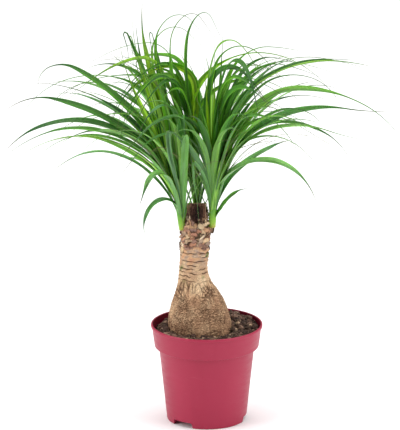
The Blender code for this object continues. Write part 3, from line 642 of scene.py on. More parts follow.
def leaf_look():
    """Fresh to bluish strap leaves: fine veins, lighter edges, dark drying tips; one half of each
    blade is painted in shade, and older leaves get a bluish coat that is partly painted sheen.
    """
    look = Look("leaf_blade", specular=0.38)
    along, across, under, age, tone, dry = map(look.value, LEAF_VALUES)
    seed = look.times(tone, 57.0)
    streaks = look.noise(look.vector(look.times(across, 4.0), look.times(along, 1.2), seed),
                         1.0, 4.0, 0.65)
    blotches = look.noise(look.vector(across, look.times(along, 7.0), seed), 1.0, 3.0)
    veins = look.math("SINE", look.times(across, 38.0))
    # which half of each blade is painted darker as shade, set by the leaf's seed
    half = look.times(across, look.math("SINE", seed))
    edge = look.math("ABSOLUTE", across)
    tip = look.plus(along, look.times(look.math("SUBTRACT", blotches, 0.5), 0.16))
    # a pale bluish coat on older leaves: partly their waxy bloom, partly painted sheen
    bloom_and_sheen = look.times(look.span(age, 0.3, 1.0, 0.0, 0.34), look.span(blotches, 0.65, 0.35))
    browning = look.math("MAXIMUM", look.span(tip, 0.90, 1.0, 0.0, 0.8), dry)
    withered = look.mix(streaks, (0.060, 0.032, 0.018), (0.190, 0.120, 0.070))
    colour = look.coats(
        leaf_tint(look, tone, age),
        # painted shade: one half of the blade darker
        ((0.006, 0.052, 0.005), half, -0.12, 0.12, 0.0, 0.52),
        ((0.210, 0.470, 0.060), streaks, 0.50, 0.72, 0.0, 0.60),
        ((0.010, 0.070, 0.006), streaks, 0.30, 0.46, 0.60, 0.0),
        ((0.014, 0.090, 0.010), blotches, 0.50, 0.75, 0.0, 0.35),
        ((0.200, 0.430, 0.080), veins, 0.3, 1.0, 0.0, 0.12),
        ((0.260, 0.520, 0.250), bloom_and_sheen),
        ((0.110, 0.300, 0.070), look.times(under, 0.30)),
        ((0.300, 0.600, 0.080), edge, 0.84, 1.0, 0.0, 0.45),
        ((0.300, 0.520, 0.040), along, 0.01, 0.10, 0.85, 0.0),
        ((0.480, 0.330, 0.080), along, 0.0, 0.035, 0.65, 0.0),
        ((0.018, 0.075, 0.030), tip, 0.68, 0.92, 0.0, 0.70),
        (withered, browning))
    look.bump(look.plus(veins, look.times(streaks, 2.5)), 0.35, 0.00025)
    translucence = {"Weight": 0.20, "Radius": (0.40, 1.0, 0.05), "Scale": 0.0009}
    for key, value in translucence.items():
        look.shader.inputs["Subsurface " + key].default_value = value
    rough = look.span(blotches, 0.3, 0.7, 0.32, 0.48)
    return look.finish(colour, look.plus(rough, look.times(browning, 0.3)))


def bark_look():
    """Corky bark: dark fissures below, leaf scars and papery flakes above; the dark in the cracks and
    scars is partly painted shade, and the dark under the flakes is painted shade.
    """
    look = Look("trunk_bark_fissured", 0.85, 0.2)
    tone, crack, neck, wound, green = map(look.value, BARK_VALUES)
    specks = look.noise(look.coordinates(), 1400.0, 4.0, 0.7)
    patches = look.noise(look.coordinates(), 85.0, 4.0, 0.6)
    fibrous = look.noise(look.coordinates((420, 420, 160)), 1.0, 4.0, 0.7)
    grooves = look.threads(look.coordinates((1, 1, 1.5)), 420.0, 0.085)
    cork = look.ramp(tone, (0.0, (0.360, 0.190, 0.110)), (0.40, (0.620, 0.370, 0.210)),
                     (0.70, (0.780, 0.510, 0.300)), (1.0, (0.880, 0.650, 0.410)))
    flakes = look.ramp(tone, (0.0, (0.300, 0.200, 0.165)), (0.22, (0.580, 0.270, 0.170)),
                       (0.45, (0.740, 0.450, 0.250)), (0.65, (0.440, 0.310, 0.240)),
                       (0.82, (0.820, 0.580, 0.340)), (1.0, (0.900, 0.740, 0.540)))
    torn = look.ramp(look.plus(look.times(fibrous, 0.5), look.times(tone, 0.5)),
                     (0.28, (0.012, 0.005, 0.004)), (0.50, (0.080, 0.034, 0.022)),
                     (0.80, (0.420, 0.230, 0.150)))
    colour = look.coats(
        cork,
        ((0.120, 0.050, 0.025), look.times(grooves, 0.45)),
        (flakes, neck),
        ((0.300, 0.150, 0.090), patches, 0.50, 0.70, 0.0, 0.28),
        ((0.160, 0.080, 0.048), specks, 0.54, 0.72, 0.0, 0.45),
        ((0.800, 0.620, 0.400), specks, 0.26, 0.42, 0.45, 0.0),
        ((0.110, 0.170, 0.030), look.times(green, 0.75)),
        # dark of cracks and scars, partly their own colour and partly painted shade in them, and
        # painted shade under and behind the flakes
        ((0.050, 0.021, 0.011), crack),
        (torn, wound))
    relief = look.plus(specks, look.times(fibrous, wound))
    look.bump(look.math("SUBTRACT", relief, look.times(grooves, 0.8)), 0.8, 0.0005)
    return look.finish(colour)


def peat_look():
    """The bed under the crumbs: dark peat, painted nearly black as the shade in the gaps between
    them.
    """
    look = Look("peat_bed", 0.95, 0.15)
    grain = look.noise(look.coordinates(), 700.0, 5.0, 0.75)
    colour = look.ramp(grain, (0.30, (0.004, 0.002, 0.002)), (0.55, (0.016, 0.009, 0.006)),
                       (0.80, (0.060, 0.036, 0.025)))
    look.bump(grain, 0.9, 0.0012)
    return look.finish(colour)


def crumb_look():
    """Crumbs of peat, each with its own tone, and a few pale chips."""
    look = Look("peat_crumbs", 0.85, 0.3)
    grain = look.noise(look.coordinates(), 1600.0, 4.0, 0.7)
    colour = look.coats(
        look.ramp(look.value("tone"), (0.0, (0.014, 0.006, 0.004)),
                  (0.45, (0.078, 0.038, 0.027)), (0.75, (0.215, 0.122, 0.086)),
                  (0.94, (0.400, 0.260, 0.180)), (1.0, (0.640, 0.430, 0.270))),
        ((0.260, 0.165, 0.115), grain, 0.40, 0.75, 0.0, 0.35),
        ((0.012, 0.006, 0.004), grain, 0.25, 0.45, 0.60, 0.0))
    look.bump(grain, 0.9, 0.0008)
    return look.finish(colour)


def fibre_look():
    look = Look("plant_fibre", 0.8, 0.3)
    grain = look.noise(look.coordinates(), 2500.0, 3.0)
    base = look.ramp(look.value("tone"), (0.0, (0.060, 0.038, 0.024)),
                     (0.6, (0.190, 0.130, 0.085)), (1.0, (0.420, 0.310, 0.205)))
    return look.finish(look.coats(base, ((0.10, 0.065, 0.04), grain, 0.3, 0.7, 0.0, 0.4)))


def floor_look():
    look = Look("studio_floor", 0.9, 0.1)
    drift = look.noise(look.coordinates(), 0.7, 2.0)
    return look.finish(look.mix(drift, (0.93, 0.93, 0.93), (0.95, 0.95, 0.95)))


# ------------------------------------------------------- leaves, as the CAD
def leaf_slope(at, slopes):
    """Angle above the horizontal along a leaf, turning faster at a crease."""
    slopes = np.array(slopes, float)
    step = np.minimum((at * (len(slopes) - 1)).astype(int), len(slopes) - 2)
    share = at * (len(slopes) - 1) - step
    turn = slopes[step + 1] - slopes[step]
    sharpness = np.where(np.abs(turn) > CREASE_TURN, CREASE_SHARPNESS, 1.0)
    return slopes[step] + turn * np.clip(0.5 + (share - 0.5) * sharpness, 0.0, 1.0)


def leaf_path(root, leaf):
    """Shares of the leaf's length and the points there, root to tip."""
    at = (np.arange(PATH_STEPS) + 0.5) / PATH_STEPS
    slope = np.radians(leaf_slope(at, leaf.slopes))
    bearing = np.radians(leaf.bearing + leaf.sweep * at ** 2)
    moves = np.stack([np.cos(slope) * np.cos(bearing),
                      np.cos(slope) * np.sin(bearing),
                      np.sin(slope)], axis=1) * (leaf.length / PATH_STEPS)
    points = np.vstack([np.zeros(3), np.cumsum(moves, axis=0)]) + np.array(root)
    return np.linspace(0.0, 1.0, PATH_STEPS + 1), points


def ends_in_cad(shoot, leaf, tree):
    """Whether the CAD's shoot has a leaf that runs out where this one does."""
    at, points = leaf_path(shoot.seat, leaf)
    last = points[at > CAD_MATCH_FROM]
    return max(tree.find_nearest(Vector(point))[3] for point in last) < CAD_MATCH


def arching(rise, droop, arch):
    """Slopes of a leaf that rises and then bends over."""
    return tuple(rise - droop * (step / 5) ** arch for step in range(6))


def filler_leaf(shoot, index, rng):
    """One leaf of the spiral: inner ones young and steep, outer ones arching."""
    age = (index + 0.5) / shoot.fillers
    rise, droop, length = (
        young + (old - young) * age
        for young, old in (FILLER_RISE, FILLER_DROOP, FILLER_LENGTH))
    return Leaf(
        bearing=(shoot.first_filler + GOLDEN_ANGLE * index) % 360.0,
        sweep=rng.uniform(-SWEEP_SPREAD, SWEEP_SPREAD),
        length=length * rng.uniform(*LENGTH_SPREAD),
        width=rng.uniform(*WIDTH_SPREAD),
        tail=rng.uniform(*TAIL_SPREAD),
        roll=rng.uniform(-ROLL_SPREAD, ROLL_SPREAD),
        slopes=arching(rise, droop, FILLER_ARCH),
        age=0.9 * age)


def place_leaves(name, shoot, rng):
    """A shoot's leaves; each filler is turned, or left out, as the CAD's is."""
    tree = surface_tree(name)
    placed = [Leaf(*row) for row in LEAF_ROWS[name]]
    for index in range(shoot.fillers):
        leaf = filler_leaf(shoot, index, rng)
        for attempt in range(TURN_TRIES):
            turn = TURN_STEP * ((attempt + 1) // 2) * (-1) ** attempt
            turned_leaf = leaf._replace(bearing=leaf.bearing + turn)
            if ends_in_cad(shoot, turned_leaf, tree):
                placed.append(turned_leaf)
                break
    return placed


# ------------------------------------------------------------- finer leaves
def bend_along(at, points):
    """A measure that grows along the leaf, and faster where it bends."""
    moves = np.diff(points, axis=0)
    moves /= np.linalg.norm(moves, axis=1)[:, None]
    bends = np.linalg.norm(np.diff(moves, axis=0), axis=1)
    return at + BEND_CROWDING * np.concatenate([[0.0], np.cumsum(bends), [bends.sum()]])


def leaf_width(at, tail):
    """A strap's width along it: narrow root, broad middle, thin drawn-out tip."""
    root = ROOT_WIDTH + (1.0 - ROOT_WIDTH) * np.minimum(1.0, at / BROAD_FROM)
    narrowing = np.clip((at - NARROW_FROM) / (tail - NARROW_FROM), 0.0, 1.0) ** NARROWING
    tip = np.clip((at - tail) / (1.0 - tail), 0.0, 1.0)
    return root * (1.0 - (1.0 - TAIL_WIDTH) * narrowing - TAIL_WIDTH * tip)


def blade_course(shoot, leaf, segments):
    """Stations along a blade with its path, its directions and its half width."""
    at, points = leaf_path(shoot.seat, leaf)
    bend = bend_along(at, points)
    stations = np.interp(np.linspace(bend[0], bend[-1], segments + 1), bend, at)
    path = np.stack([np.interp(stations, at, points[:, k]) for k in range(3)], axis=1)
    along = np.gradient(path, axis=0)
    along /= np.linalg.norm(along, axis=1)[:, None]
    bearing = np.radians(leaf.bearing + leaf.sweep * stations ** 2)
    side = np.stack([-np.sin(bearing), np.cos(bearing), 0.0 * bearing], axis=1)
    return stations, path, along, side, leaf.width / 2 * leaf_width(stations, leaf.tail)


def blade_lines(path, across, out, half, fold, ripple, shares):
    """Lines along the blade's middle surface, one for each share of its half width."""
    lines = []
    for share in shares:
        flat = half * np.cos(fold) * share
        lift = half * np.sin(fold) * abs(share) ** BLADE_CUP + ripple * share ** 3
        lines.append(path + across * flat[:, None] + out * lift[:, None])
    return lines


def blade_roll(leaf, stations, twist):
    """How far the blade is turned about its own course, in radians."""
    front = FRONT_TURN * math.cos(math.radians(leaf.bearing))
    roll = leaf.roll * smooth_step(*ROLL_SPAN, stations) + twist * stations ** 1.5
    return np.radians(roll + front * smooth_step(*FRONT_SPAN, stations))[:, None]


def blade_fold(leaf, stations, open_fold, clasp):
    """How far each half is folded up: flatter in the middle, rolled up at the tip."""
    flattened = open_fold * (1.0 - FLATTENING * smooth_step(*FLATTENING_SPAN, stations))
    rolled = smooth_step(leaf.tail - TAIL_ROLLING, leaf.tail, stations)
    return flattened * (1 - rolled) + TAIL_FOLD * rolled + SHEATH_FOLD * clasp


def blade_values(leaf, stations, shares, rng):
    """What the leaf's look reads at each point of a blade."""
    rows, columns = len(stations), len(shares)
    dry = rng.random() ** 1.5 * smooth_step(leaf.tail - 0.05, 1.0, stations)
    return {
        "along": np.repeat(stations, 2 * columns),
        "across": np.tile(np.concatenate([shares, shares[::-1]]), rows),
        "under": np.tile(np.repeat([0.0, 1.0], columns), rows),
        "age": leaf.age,
        "tone": rng.random(),
        "dry": np.repeat(dry, 2 * columns),
    }


def fine_blade(shoot, leaf, rng, columns=BLADE_COLUMNS, segments=BLADE_SEGMENTS):
    """Points, faces and values of one closed, channelled blade with a clasping base."""
    stations, path, along, side, half = blade_course(shoot, leaf, segments)
    clasp = np.exp(-stations / SHEATH_SHARE)
    spread = SHEATH_SPREAD * (YOUNG_SPREAD + (1 - YOUNG_SPREAD) * leaf.age) * clasp
    outward = np.array(on_circle(1.0, leaf.bearing))
    path = path + outward * (spread * smooth_step(-0.01, 0.01, stations))[:, None]
    roll = blade_roll(leaf, stations, rng.uniform(-TWIST_SPREAD, TWIST_SPREAD))
    across = side * np.cos(roll) + np.cross(along, side) * np.sin(roll)
    out = np.cross(along, across)
    half = half * (BLADE_WIDENING + SHEATH_WIDENING * clasp)
    fold = blade_fold(leaf, stations, rng.uniform(*BLADE_FOLD), clasp)
    waves = np.sin(rng.uniform(*RIPPLE_WAVES) * stations + rng.uniform(0.0, 2 * math.pi))
    ripple = RIPPLE * half * waves * smooth_step(*RIPPLE_SPAN, stations)
    shares = np.linspace(-1.0, 1.0, columns)
    middle = blade_lines(path, across, out, half, fold, ripple, shares)
    thick = BLADE_THICKNESS / 2 * (1.0 - TIP_THINNING * stations)
    skins = [out * (thick * (1.0 - EDGE_THINNING * share ** 2))[:, None] for share in shares]
    upper = [line + skin for line, skin in zip(middle, skins)]
    lower = [line - skin for line, skin in zip(middle, skins)]
    vertices = np.stack(upper + lower[::-1], axis=1).reshape(-1, 3)
    faces = loft_faces(segments + 1, 2 * columns)
    return vertices, faces, blade_values(leaf, stations, shares, rng)


def hair_leaf(shoot, index, rng):
    """A thin dry strand among the leaves."""
    slopes = arching(rng.uniform(*HAIR_RISE), rng.uniform(*HAIR_DROOP), HAIR_ARCH)
    return Leaf(
        bearing=(shoot.first_filler + HAIR_TURN + GOLDEN_ANGLE * index) % 360.0,
        sweep=rng.uniform(-HAIR_SWEEP, HAIR_SWEEP),
        length=rng.uniform(*HAIR_LENGTH),
        width=rng.uniform(*HAIR_WIDTH),
        tail=rng.uniform(*HAIR_TAIL),
        roll=0.0,
        slopes=slopes,
        age=rng.uniform(0.5, 1.0))


def is_upright(leaf):
    return leaf.slopes[len(leaf.slopes) // 2] > UPRIGHT_SLOPE


def companion_leaf(leaf, rng):
    """A slimmer leaf that grew beside another and follows its course."""
    tilt = rng.uniform(*COMPANION_TILT)
    upright = is_upright(leaf)
    ageing = COMPANION_AGEING
    return leaf._replace(
        bearing=leaf.bearing + rng.choice((-1.0, 1.0)) * rng.uniform(*COMPANION_ASIDE),
        sweep=leaf.sweep + rng.uniform(-SWEEP_SPREAD, SWEEP_SPREAD),
        length=leaf.length * rng.uniform(*COMPANION_LENGTH[upright]),
        width=leaf.width * rng.uniform(*COMPANION_WIDTH[upright]),
        tail=rng.uniform(*TAIL_SPREAD),
        roll=leaf.roll + rng.uniform(-ROLL_SPREAD, ROLL_SPREAD),
        slopes=tuple(slope + tilt * min(1.0, step / 2) for step, slope in enumerate(leaf.slopes)),
        age=min(1.0, max(0.0, leaf.age + rng.uniform(-ageing, ageing))))


def inside_frame(shoot, leaf):
    """The strand, shortened until it keeps inside the CAD's own box."""
    low, high = np.array(CAD_LOW) + STRAND_MARGIN, np.array(CAD_HIGH) - STRAND_MARGIN
    while True:
        _, points = leaf_path(shoot.seat, leaf)
        if (points > low).all() and (points < high).all():
            return leaf
        leaf = leaf._replace(length=leaf.length * STRAND_SHORTENING)


def add_blade(parts, vertices, faces, values):
    """Adds a blade, pressed back a hair's breadth where it passes the CAD's own box."""
    parts.add(np.clip(vertices, np.array(CAD_LOW), np.array(CAD_HIGH)), faces, **values)


def companion_count(leaf, is_hero):
    if leaf.length < COMPANIONS_FROM:
        return 0
    return (HERO_COMPANIONS if is_hero else FILLER_COMPANIONS)[is_upright(leaf)]


def dress_shoot(name, leaves, mat):
    shoot = SHOOTS[name]
    rng = random.Random(name)
    parts = Parts(*LEAF_VALUES)
    for leaf in leaves:
        add_blade(parts, *fine_blade(shoot, leaf, rng))
    for index, leaf in enumerate(leaves):
        for _ in range(companion_count(leaf, index < len(LEAF_ROWS[name]))):
            slim = inside_frame(shoot, companion_leaf(leaf, rng))
            add_blade(parts, *fine_blade(shoot, slim, rng, COMPANION_COLUMNS, COMPANION_SEGMENTS))
    for index in range(HAIR_COUNT):
        leaf = inside_frame(shoot, hair_leaf(shoot, index, rng))
        vertices, faces, values = fine_blade(shoot, leaf, rng, HAIR_COLUMNS, HAIR_SEGMENTS)
        values["dry"] = smooth_step(*HAIR_DRYING, values["along"]) * rng.uniform(*HAIR_DRYNESS)
        add_blade(parts, vertices, faces, values)
    add_core(parts, shoot)
    place(parts.build(name + "_leaves", mat), "leaf_green", name)


def shoot_axis(shoot):
    lean = math.radians(shoot.lean)
    flat = on_circle(math.sin(lean), shoot.bearing)
    return np.array((flat.x, flat.y, math.cos(lean)))


def add_core(parts, shoot):
    """The short stem that the clasping bases hide."""
    reach = np.linspace(STEM_FOOT, CORE_LENGTH * STEM_SHARE, STEM_STEPS)
    radii = STEM_RADIUS * (1.0 - 0.9 * smooth_step(0.4, 1.0, reach / reach[-1]))
    path = np.array(shoot.seat) + np.outer(reach, shoot_axis(shoot))
    vertices, faces = tube(path, radii, STEM_SIDES)
    along = 0.005 + 0.16 * np.linspace(0.0, 1.0, len(vertices))
    parts.add(vertices, faces, along=along, across=0.3, age=0.5, tone=0.4)


# -------------------------------------------------------------- finer trunk
def trunk_grain(angle, height):
    """Gentle lobes and rings, as a share of the trunk's radius."""
    lobes = 0.5 * np.sin(3 * angle + 40 * height) + 0.3 * np.sin(5 * angle - 60 * height)
    rings = 0.35 * np.sin(height * 900.0 + 2 * np.sin(2 * angle))
    fade = np.clip((height - RINGED_ABOVE) * 50.0, 0.0, 1.0)
    return TRUNK_GRAIN * (lobes + rings * fade)


def trunk_surface(angle, height):
    """Points on the smooth trunk, the directions out of it and its radius there."""
    rings = np.array(TRUNK_RINGS)
    x, y, radius = (curve_through(height, rings[:, 0], rings[:, k]) for k in (1, 2, 3))
    radius = radius * (1 + trunk_grain(angle, height))
    facing = circle(angle)
    middle = np.stack([x, y, height], axis=-1)
    return middle + facing * radius[..., None], facing, radius


def stump_lean(points, height):
    """The stump's cut slopes down to the front, as the CAD's does."""
    tilt = smooth_step(STUMP_TOP - 0.010, STUMP_TOP, height)
    lowered = points.copy()
    lowered[..., 2] -= tilt * STUMP_TILT * (points[..., 1] - TRUNK_RINGS[-1].y)
    return lowered


def bark_fissures(points, height):
    """Winding cracks of the swollen base: upright above, level at the soil."""
    bent = points.copy()
    bent[:, 2] *= curve_through(height, *FISSURE_STRETCH)
    far, bends = FISSURE_WARP
    bent += far * np.stack([noise_at(points + shift, bends) for shift in (0.0, 1.7, 3.1)], axis=1)
    wide, fine = (np.exp(-(noise_at(bent + shift, scale) / width) ** 2)
                  for shift, scale, width in FISSURES)
    strength = smooth_step(-0.40, 0.10, noise_at(points + 9.0, 60.0))
    below = smooth_step(*FISSURE_TOP, height)
    return below * np.maximum(wide * (0.6 + 0.4 * strength), fine * 0.9 * strength)


def ring_scars(points, angle, height):
    """Broken level grooves left by old leaves, and the step each one makes."""
    drift = noise_at(points, 60.0) + 0.8 * noise_at(points + 3.0, 210.0)
    phase = height / SCAR_STEP + SCAR_DRIFT * drift + SCAR_TILT * np.sin(angle + 1.0)
    share = phase % 1.0
    depth = np.exp(-((share - 0.5) / SCAR_WIDTH) ** 2)
    breaks = smooth_step(-0.22, 0.05, noise_at(points * [1, 1, 2.4] + 4.0, 100.0))
    zone = band(height, *SCAR_BAND)
    return zone * depth * breaks, zone * ((share - 0.5) % 1.0)


def wound_share(angle, height, ragged):
    """The dark fibrous patch on the front of the stump, narrower below."""
    away = np.degrees(off_angle(angle, math.radians(WOUND_BEARING)))
    low, high = WOUND_WIDTHS
    wide = low + (high - low) * smooth_step(*WOUND_WIDENS, height) + WOUND_RAGGED[0] * ragged
    side = smooth_step(1.0, 0.80, np.abs(away) / wide)
    return side * smooth_step(*WOUND_FOOT, height + WOUND_RAGGED[1] * ragged)


def trunk_lumps(points, angle, height):
    """Soft lumps, the knob of the neck and the bed that its flakes lie in."""
    lumps = sum(size * noise_at(points + shift, scale)
                for shift, (size, scale) in ((0.0, SOFT_LUMPS), (2.0, SMALL_LUMPS)))
    up = (height - KNOB_HEIGHT) / KNOB_TALL
    knob = np.exp(-(np.hypot(off_angle(angle, KNOB_BEARING), up) / KNOB_WIDE) ** 2)
    return lumps + KNOB_RISE * knob - FLAKE_SINK * band(height, *FLAKE_BED)


def bark_heights():
    bands = [np.linspace(low, high, rows, endpoint=False) for low, high, rows in BARK_BANDS]
    return np.concatenate(bands + [[STUMP_TOP]])


def bark_tone(points, height, neck):
    """Light ridges and darker hollows, running up the base in streaks."""
    streak = noise_at(points * [1, 1, 0.25] + 6.0, 260.0)
    tone = 0.50 + 0.30 * noise_at(points + 3.0, 70.0) + 0.32 * streak
    tone += 0.28 * smooth_step(0.138, 0.156, height) - 0.22 * smooth_step(0.118, 0.092, height)
    blocks = noise_at(points * [1, 1, 1.6] + 8.0, 150.0)
    return np.clip(tone * (1 - neck) + (0.55 + 0.5 * blocks) * neck, 0.0, 1.0)


def dress_trunk(mat):
    heights = bark_heights()
    height = np.repeat(heights, BARK_SEGMENTS)
    angle = np.tile(turns(BARK_SEGMENTS), len(heights))
    base, facing, _ = trunk_surface(angle, height)
    fissure = bark_fissures(base, height)
    scars, lips = ring_scars(base, angle, height)
    wound = wound_share(angle, height, noise_at(base + 1.0, 230.0))
    fibres = noise_at(base * [1, 1, 0.35], 520.0)
    push = trunk_lumps(base, angle, height) + wound * (WOUND_RELIEF * fibres - WOUND_DEPTH)
    push += SCAR_LIP * lips - SCAR_DEPTH * scars - FISSURE_DEPTH * fissure
    points = stump_lean(base + facing * push[:, None], height)
    points[:, 2] += smooth_step(*RIM_BAND, height) * RIM_ROUGHNESS * noise_at(base, 300.0)
    neck = smooth_step(*NECK_BAND, height)
    # painted shade on the neck where the flakes cover it; with the fissures and scars it makes the
    # dark mask, partly painted shade there too
    flake_shadow = 0.75 * band(height, *FLAKE_SHADE)
    crack = np.clip(np.maximum.reduce([fissure * 0.95, scars * 0.85, flake_shadow]), 0.0, 1.0)
    moss = smooth_step(0.34, 0.52, noise_at(base + 7.0, 95.0)) * smooth_step(*MOSS_FROM, height)
    faces = ring_faces(len(heights), BARK_SEGMENTS)
    faces.append(tuple(reversed(range(BARK_SEGMENTS))))
    parts = Parts(*BARK_VALUES)
    parts.add(points, faces, tone=bark_tone(base, height, neck), crack=crack * (1 - wound),
              neck=neck, wound=wound, green=moss * (1 - wound))
    close_stump(parts, points[-BARK_SEGMENTS:])
    place(parts.build("trunk_bark", mat), "trunk_bark", "trunk")


def close_stump(parts, rim):
    """The stump's dry cut face, dished and radially checked, welded to the rim."""
    middle = rim.mean(axis=0)
    after = [(i + 1) % BARK_SEGMENTS for i in range(BARK_SEGMENTS)]
    previous = len(parts.vertices) - BARK_SEGMENTS
    for share in CUT_RINGS:
        ring = middle + (rim - middle) * share
        ring[:, 2] += noise_at(ring - middle, 520.0) * CUT_ROUGHNESS
        ring[:, 2] -= CUT_DISH * smooth_step(0.95, 0.5, share)
        spokes = circle(turns(BARK_SEGMENTS), height=share * 0.15)
        radial = 0.5 + 0.5 * noise_at(spokes, 11.0)
        step = previous - len(parts.vertices)
        faces = [(step + i, step + j, j, i) for i, j in enumerate(after)]
        light = 0.50 if share > 0.8 else 0.27
        previous = len(parts.vertices)
        parts.add(ring, faces, tone=np.clip(light + 0.4 * radial, 0, 1),
                  crack=smooth_step(0.62, 0.80, radial) * 0.8,
                  wound=0.75 * float(smooth_step(0.85, 0.55, share)))
    step = previous - len(parts.vertices)
    faces = [(step + i, step + j, 0) for i, j in enumerate(after)]
    parts.add([middle - [0, 0, CUT_DISH]], faces, tone=0.4, crack=0.5, wound=0.7)


def flake_outline(rng):
    """A flake's half width at its foot, its waist, its shoulder and its top."""
    return (rng.uniform(0.55, 1.0), rng.uniform(0.85, 1.0),
            rng.uniform(0.55, 1.0), rng.uniform(0.10, 0.75))


def flake(bearing, height, rng):
    """Points and faces of one papery scale that lies on the neck, one edge curling off."""
    wide, tall = rng.uniform(*FLAKE_WIDTH), rng.uniform(*FLAKE_HEIGHT)
    u, v = np.meshgrid(np.linspace(-1, 1, FLAKE_COLUMNS), np.linspace(0, 1, FLAKE_ROWS))
    half = np.interp(v, (0.0, 0.35, 0.7, 1.0), flake_outline(rng)) * wide / 2
    lean, slope = rng.uniform(-FLAKE_LEAN, FLAKE_LEAN), rng.uniform(-FLAKE_SLOPE, FLAKE_SLOPE)
    around = u * half + lean * wide * (v - 0.5)
    ragged = FLAKE_RAGGED * np.sin(u * rng.uniform(3.0, 6.0) + rng.uniform(0.0, 6.0))
    rise = tall * (v - 0.4) + slope * around + ragged * (v - 0.5) * 2
    curl = {"top": v, "foot": 1 - v, "left": (1 - u) / 2, "right": (1 + u) / 2}
    edge = curl[rng.choice(("top", "foot", "foot", "left", "right"))]
    lift = rng.uniform(*FLAKE_LIFT) - FLAKE_SINK + rng.uniform(*FLAKE_CURL) * edge ** 2
    at_height = np.clip(height + rise, *FLAKE_LIMITS)
    _, _, radius = trunk_surface(0 * u + bearing, at_height)
    angle = bearing + around / radius
    surface, facing, _ = trunk_surface(angle, at_height)
    wrinkle = FLAKE_WRINKLE * np.sin(v * rng.uniform(8, 16) + u * rng.uniform(-4, 4))
    outer = surface + facing * (lift + wrinkle)[..., None]
    inner = outer - facing * FLAKE_THICKNESS
    points = [stump_lean(side, at_height).reshape(-1, 3) for side in (outer, inner)]
    # painted shade: the flake's rim a little darker, and its inner face dark as the shade under it
    rim = np.maximum(np.abs(u), np.abs(2 * v - 1)).ravel() > 0.99
    crack = np.concatenate([0.45 * rim, 0.85 + 0 * rim])
    return np.vstack(points), plate_faces(FLAKE_ROWS, FLAKE_COLUMNS), crack


def plate_faces(rows, columns):
    """Faces of a closed plate whose outer grid of points comes before its inner one."""
    grid = np.arange(rows * columns).reshape(rows, columns)
    corners = (grid[:-1, :-1], grid[:-1, 1:], grid[1:, 1:], grid[1:, :-1])
    outer = np.stack(corners, axis=-1).reshape(-1, 4)
    inner = outer[:, ::-1] + grid.size
    rim = np.array([*grid[0, :-1], *grid[:-1, -1], *grid[-1, :0:-1], *grid[:0:-1, 0]])
    after = np.roll(rim, -1)
    sides = np.stack([after, rim, rim + grid.size, after + grid.size], axis=1)
    return np.vstack([outer, inner, sides]).tolist()


def dress_flakes(mat):
    """Overlapping papery scales round the neck, and the fibres of the stump's wound."""
    rng = random.Random(FLAKE_SEED)
    parts = Parts(*BARK_VALUES)
    low, high = FLAKE_BAND
    for row in range(int((high - low) / FLAKE_STEP)):
        bearing = rng.uniform(0.0, 2 * math.pi)
        end = bearing + 2 * math.pi
        while bearing < end:
            height = low + FLAKE_STEP * row + rng.uniform(-FLAKE_STRAY, FLAKE_STRAY)
            open_wound = wound_share(bearing, height, 0.0) > 0.4
            if not (open_wound and rng.random() < BARE_SHARE):
                points, faces, crack = flake(bearing, height, rng)
                mossy = 0.9 if rng.random() < MOSSY_SHARE else 0.0
                parts.add(points, faces, tone=rng.random(), crack=crack, neck=1.0,
                          wound=0.6 if open_wound else 0.0, green=mossy)
            bearing += rng.uniform(*FLAKE_GAP)
    add_wound_fibres(parts, rng)
    add_rootlet(parts)
    place(parts.build("bark_flakes", mat), "trunk_bark")


def add_wound_fibres(parts, rng):
    """Short torn fibres that stand up the stump's dark front."""
    steps = len(WOUND_FIBRE_SHAPE)
    for _ in range(WOUND_FIBRES):
        aside = rng.gauss(0.0, WOUND_FIBRE_SPREAD)
        bearing = math.radians(WOUND_BEARING + aside)
        foot = rng.uniform(*WOUND_FIBRE_FOOT)
        top = min(foot + rng.uniform(*WOUND_FIBRE_LENGTH), WOUND_FIBRE_TOP)
        height = np.linspace(foot, top, steps)
        sway = rng.uniform(-WOUND_FIBRE_SWAY, WOUND_FIBRE_SWAY)
        angle = bearing + sway * np.linspace(0, 1, steps)
        surface, facing, _ = trunk_surface(angle, height)
        bow = np.linspace(-1, 1, steps) ** 2
        off = rng.uniform(*WOUND_FIBRE_OFF) + rng.uniform(*WOUND_FIBRE_BOW) * bow
        path = stump_lean(surface + facing * off[:, None], height)
        radii = rng.uniform(*WOUND_FIBRE_RADIUS) * np.array(WOUND_FIBRE_SHAPE)
        tone = min(1.0, abs(aside) / 40.0) * rng.uniform(0.3, 1.0)
        parts.add(*tube(path, radii, 7), tone=tone, neck=1.0, wound=1.0)


def add_rootlet(parts):
    """One dry rootlet that sticks out of the neck on the right."""
    surface, facing, _ = trunk_surface(np.array([ROOTLET_BEARING]), np.array([ROOTLET_HEIGHT]))
    steps = np.linspace(0.0, 1.0, ROOTLET_STEPS)[:, None]
    drop = np.array([[0.0, 0.0, -ROOTLET_DROP]]) * steps ** 2
    path = surface + facing * (ROOTLET_LENGTH * steps - ROOTLET_SINK) + drop
    radii = ROOTLET_RADIUS * (1.0 - 0.7 * steps[:, 0])
    parts.add(*tube(path, radii, 6), tone=0.9, neck=1.0, green=0.15)


# -------------------------------------------------------------- finer pot
def filleted(corners):
    """An outline with each (radius, height, rounding) corner turned into an arc."""
    points = []
    for index, (x, z, rounding) in enumerate(corners):
        here = np.array([x, z])
        if not rounding:
            points.append(here)
            continue
        before = np.array(corners[index - 1][:2]) - here
        after = np.array(corners[index + 1][:2]) - here
        before /= np.linalg.norm(before)
        after /= np.linalg.norm(after)
        start, end = here + before * rounding, here + after * rounding
        for t in np.linspace(0.0, 1.0, ARC_STEPS):
            points.append(start * (1 - t) ** 2 + here * 2 * t * (1 - t) + end * t * t)
    return points


def inner_radius(height):
    """Radius of the pot's inner wall at a height."""
    if height < COLLAR_FOOT:
        return FOOT_RADIUS + (BODY_RADIUS - FOOT_RADIUS) * height / COLLAR_FOOT - WALL
    share = (height - COLLAR_FOOT) / (POT_HEIGHT - COLLAR_FOOT)
    return COLLAR_RADIUS + (RIM_RADIUS - LIP_THICKNESS / 2 - COLLAR_RADIUS) * share - WALL


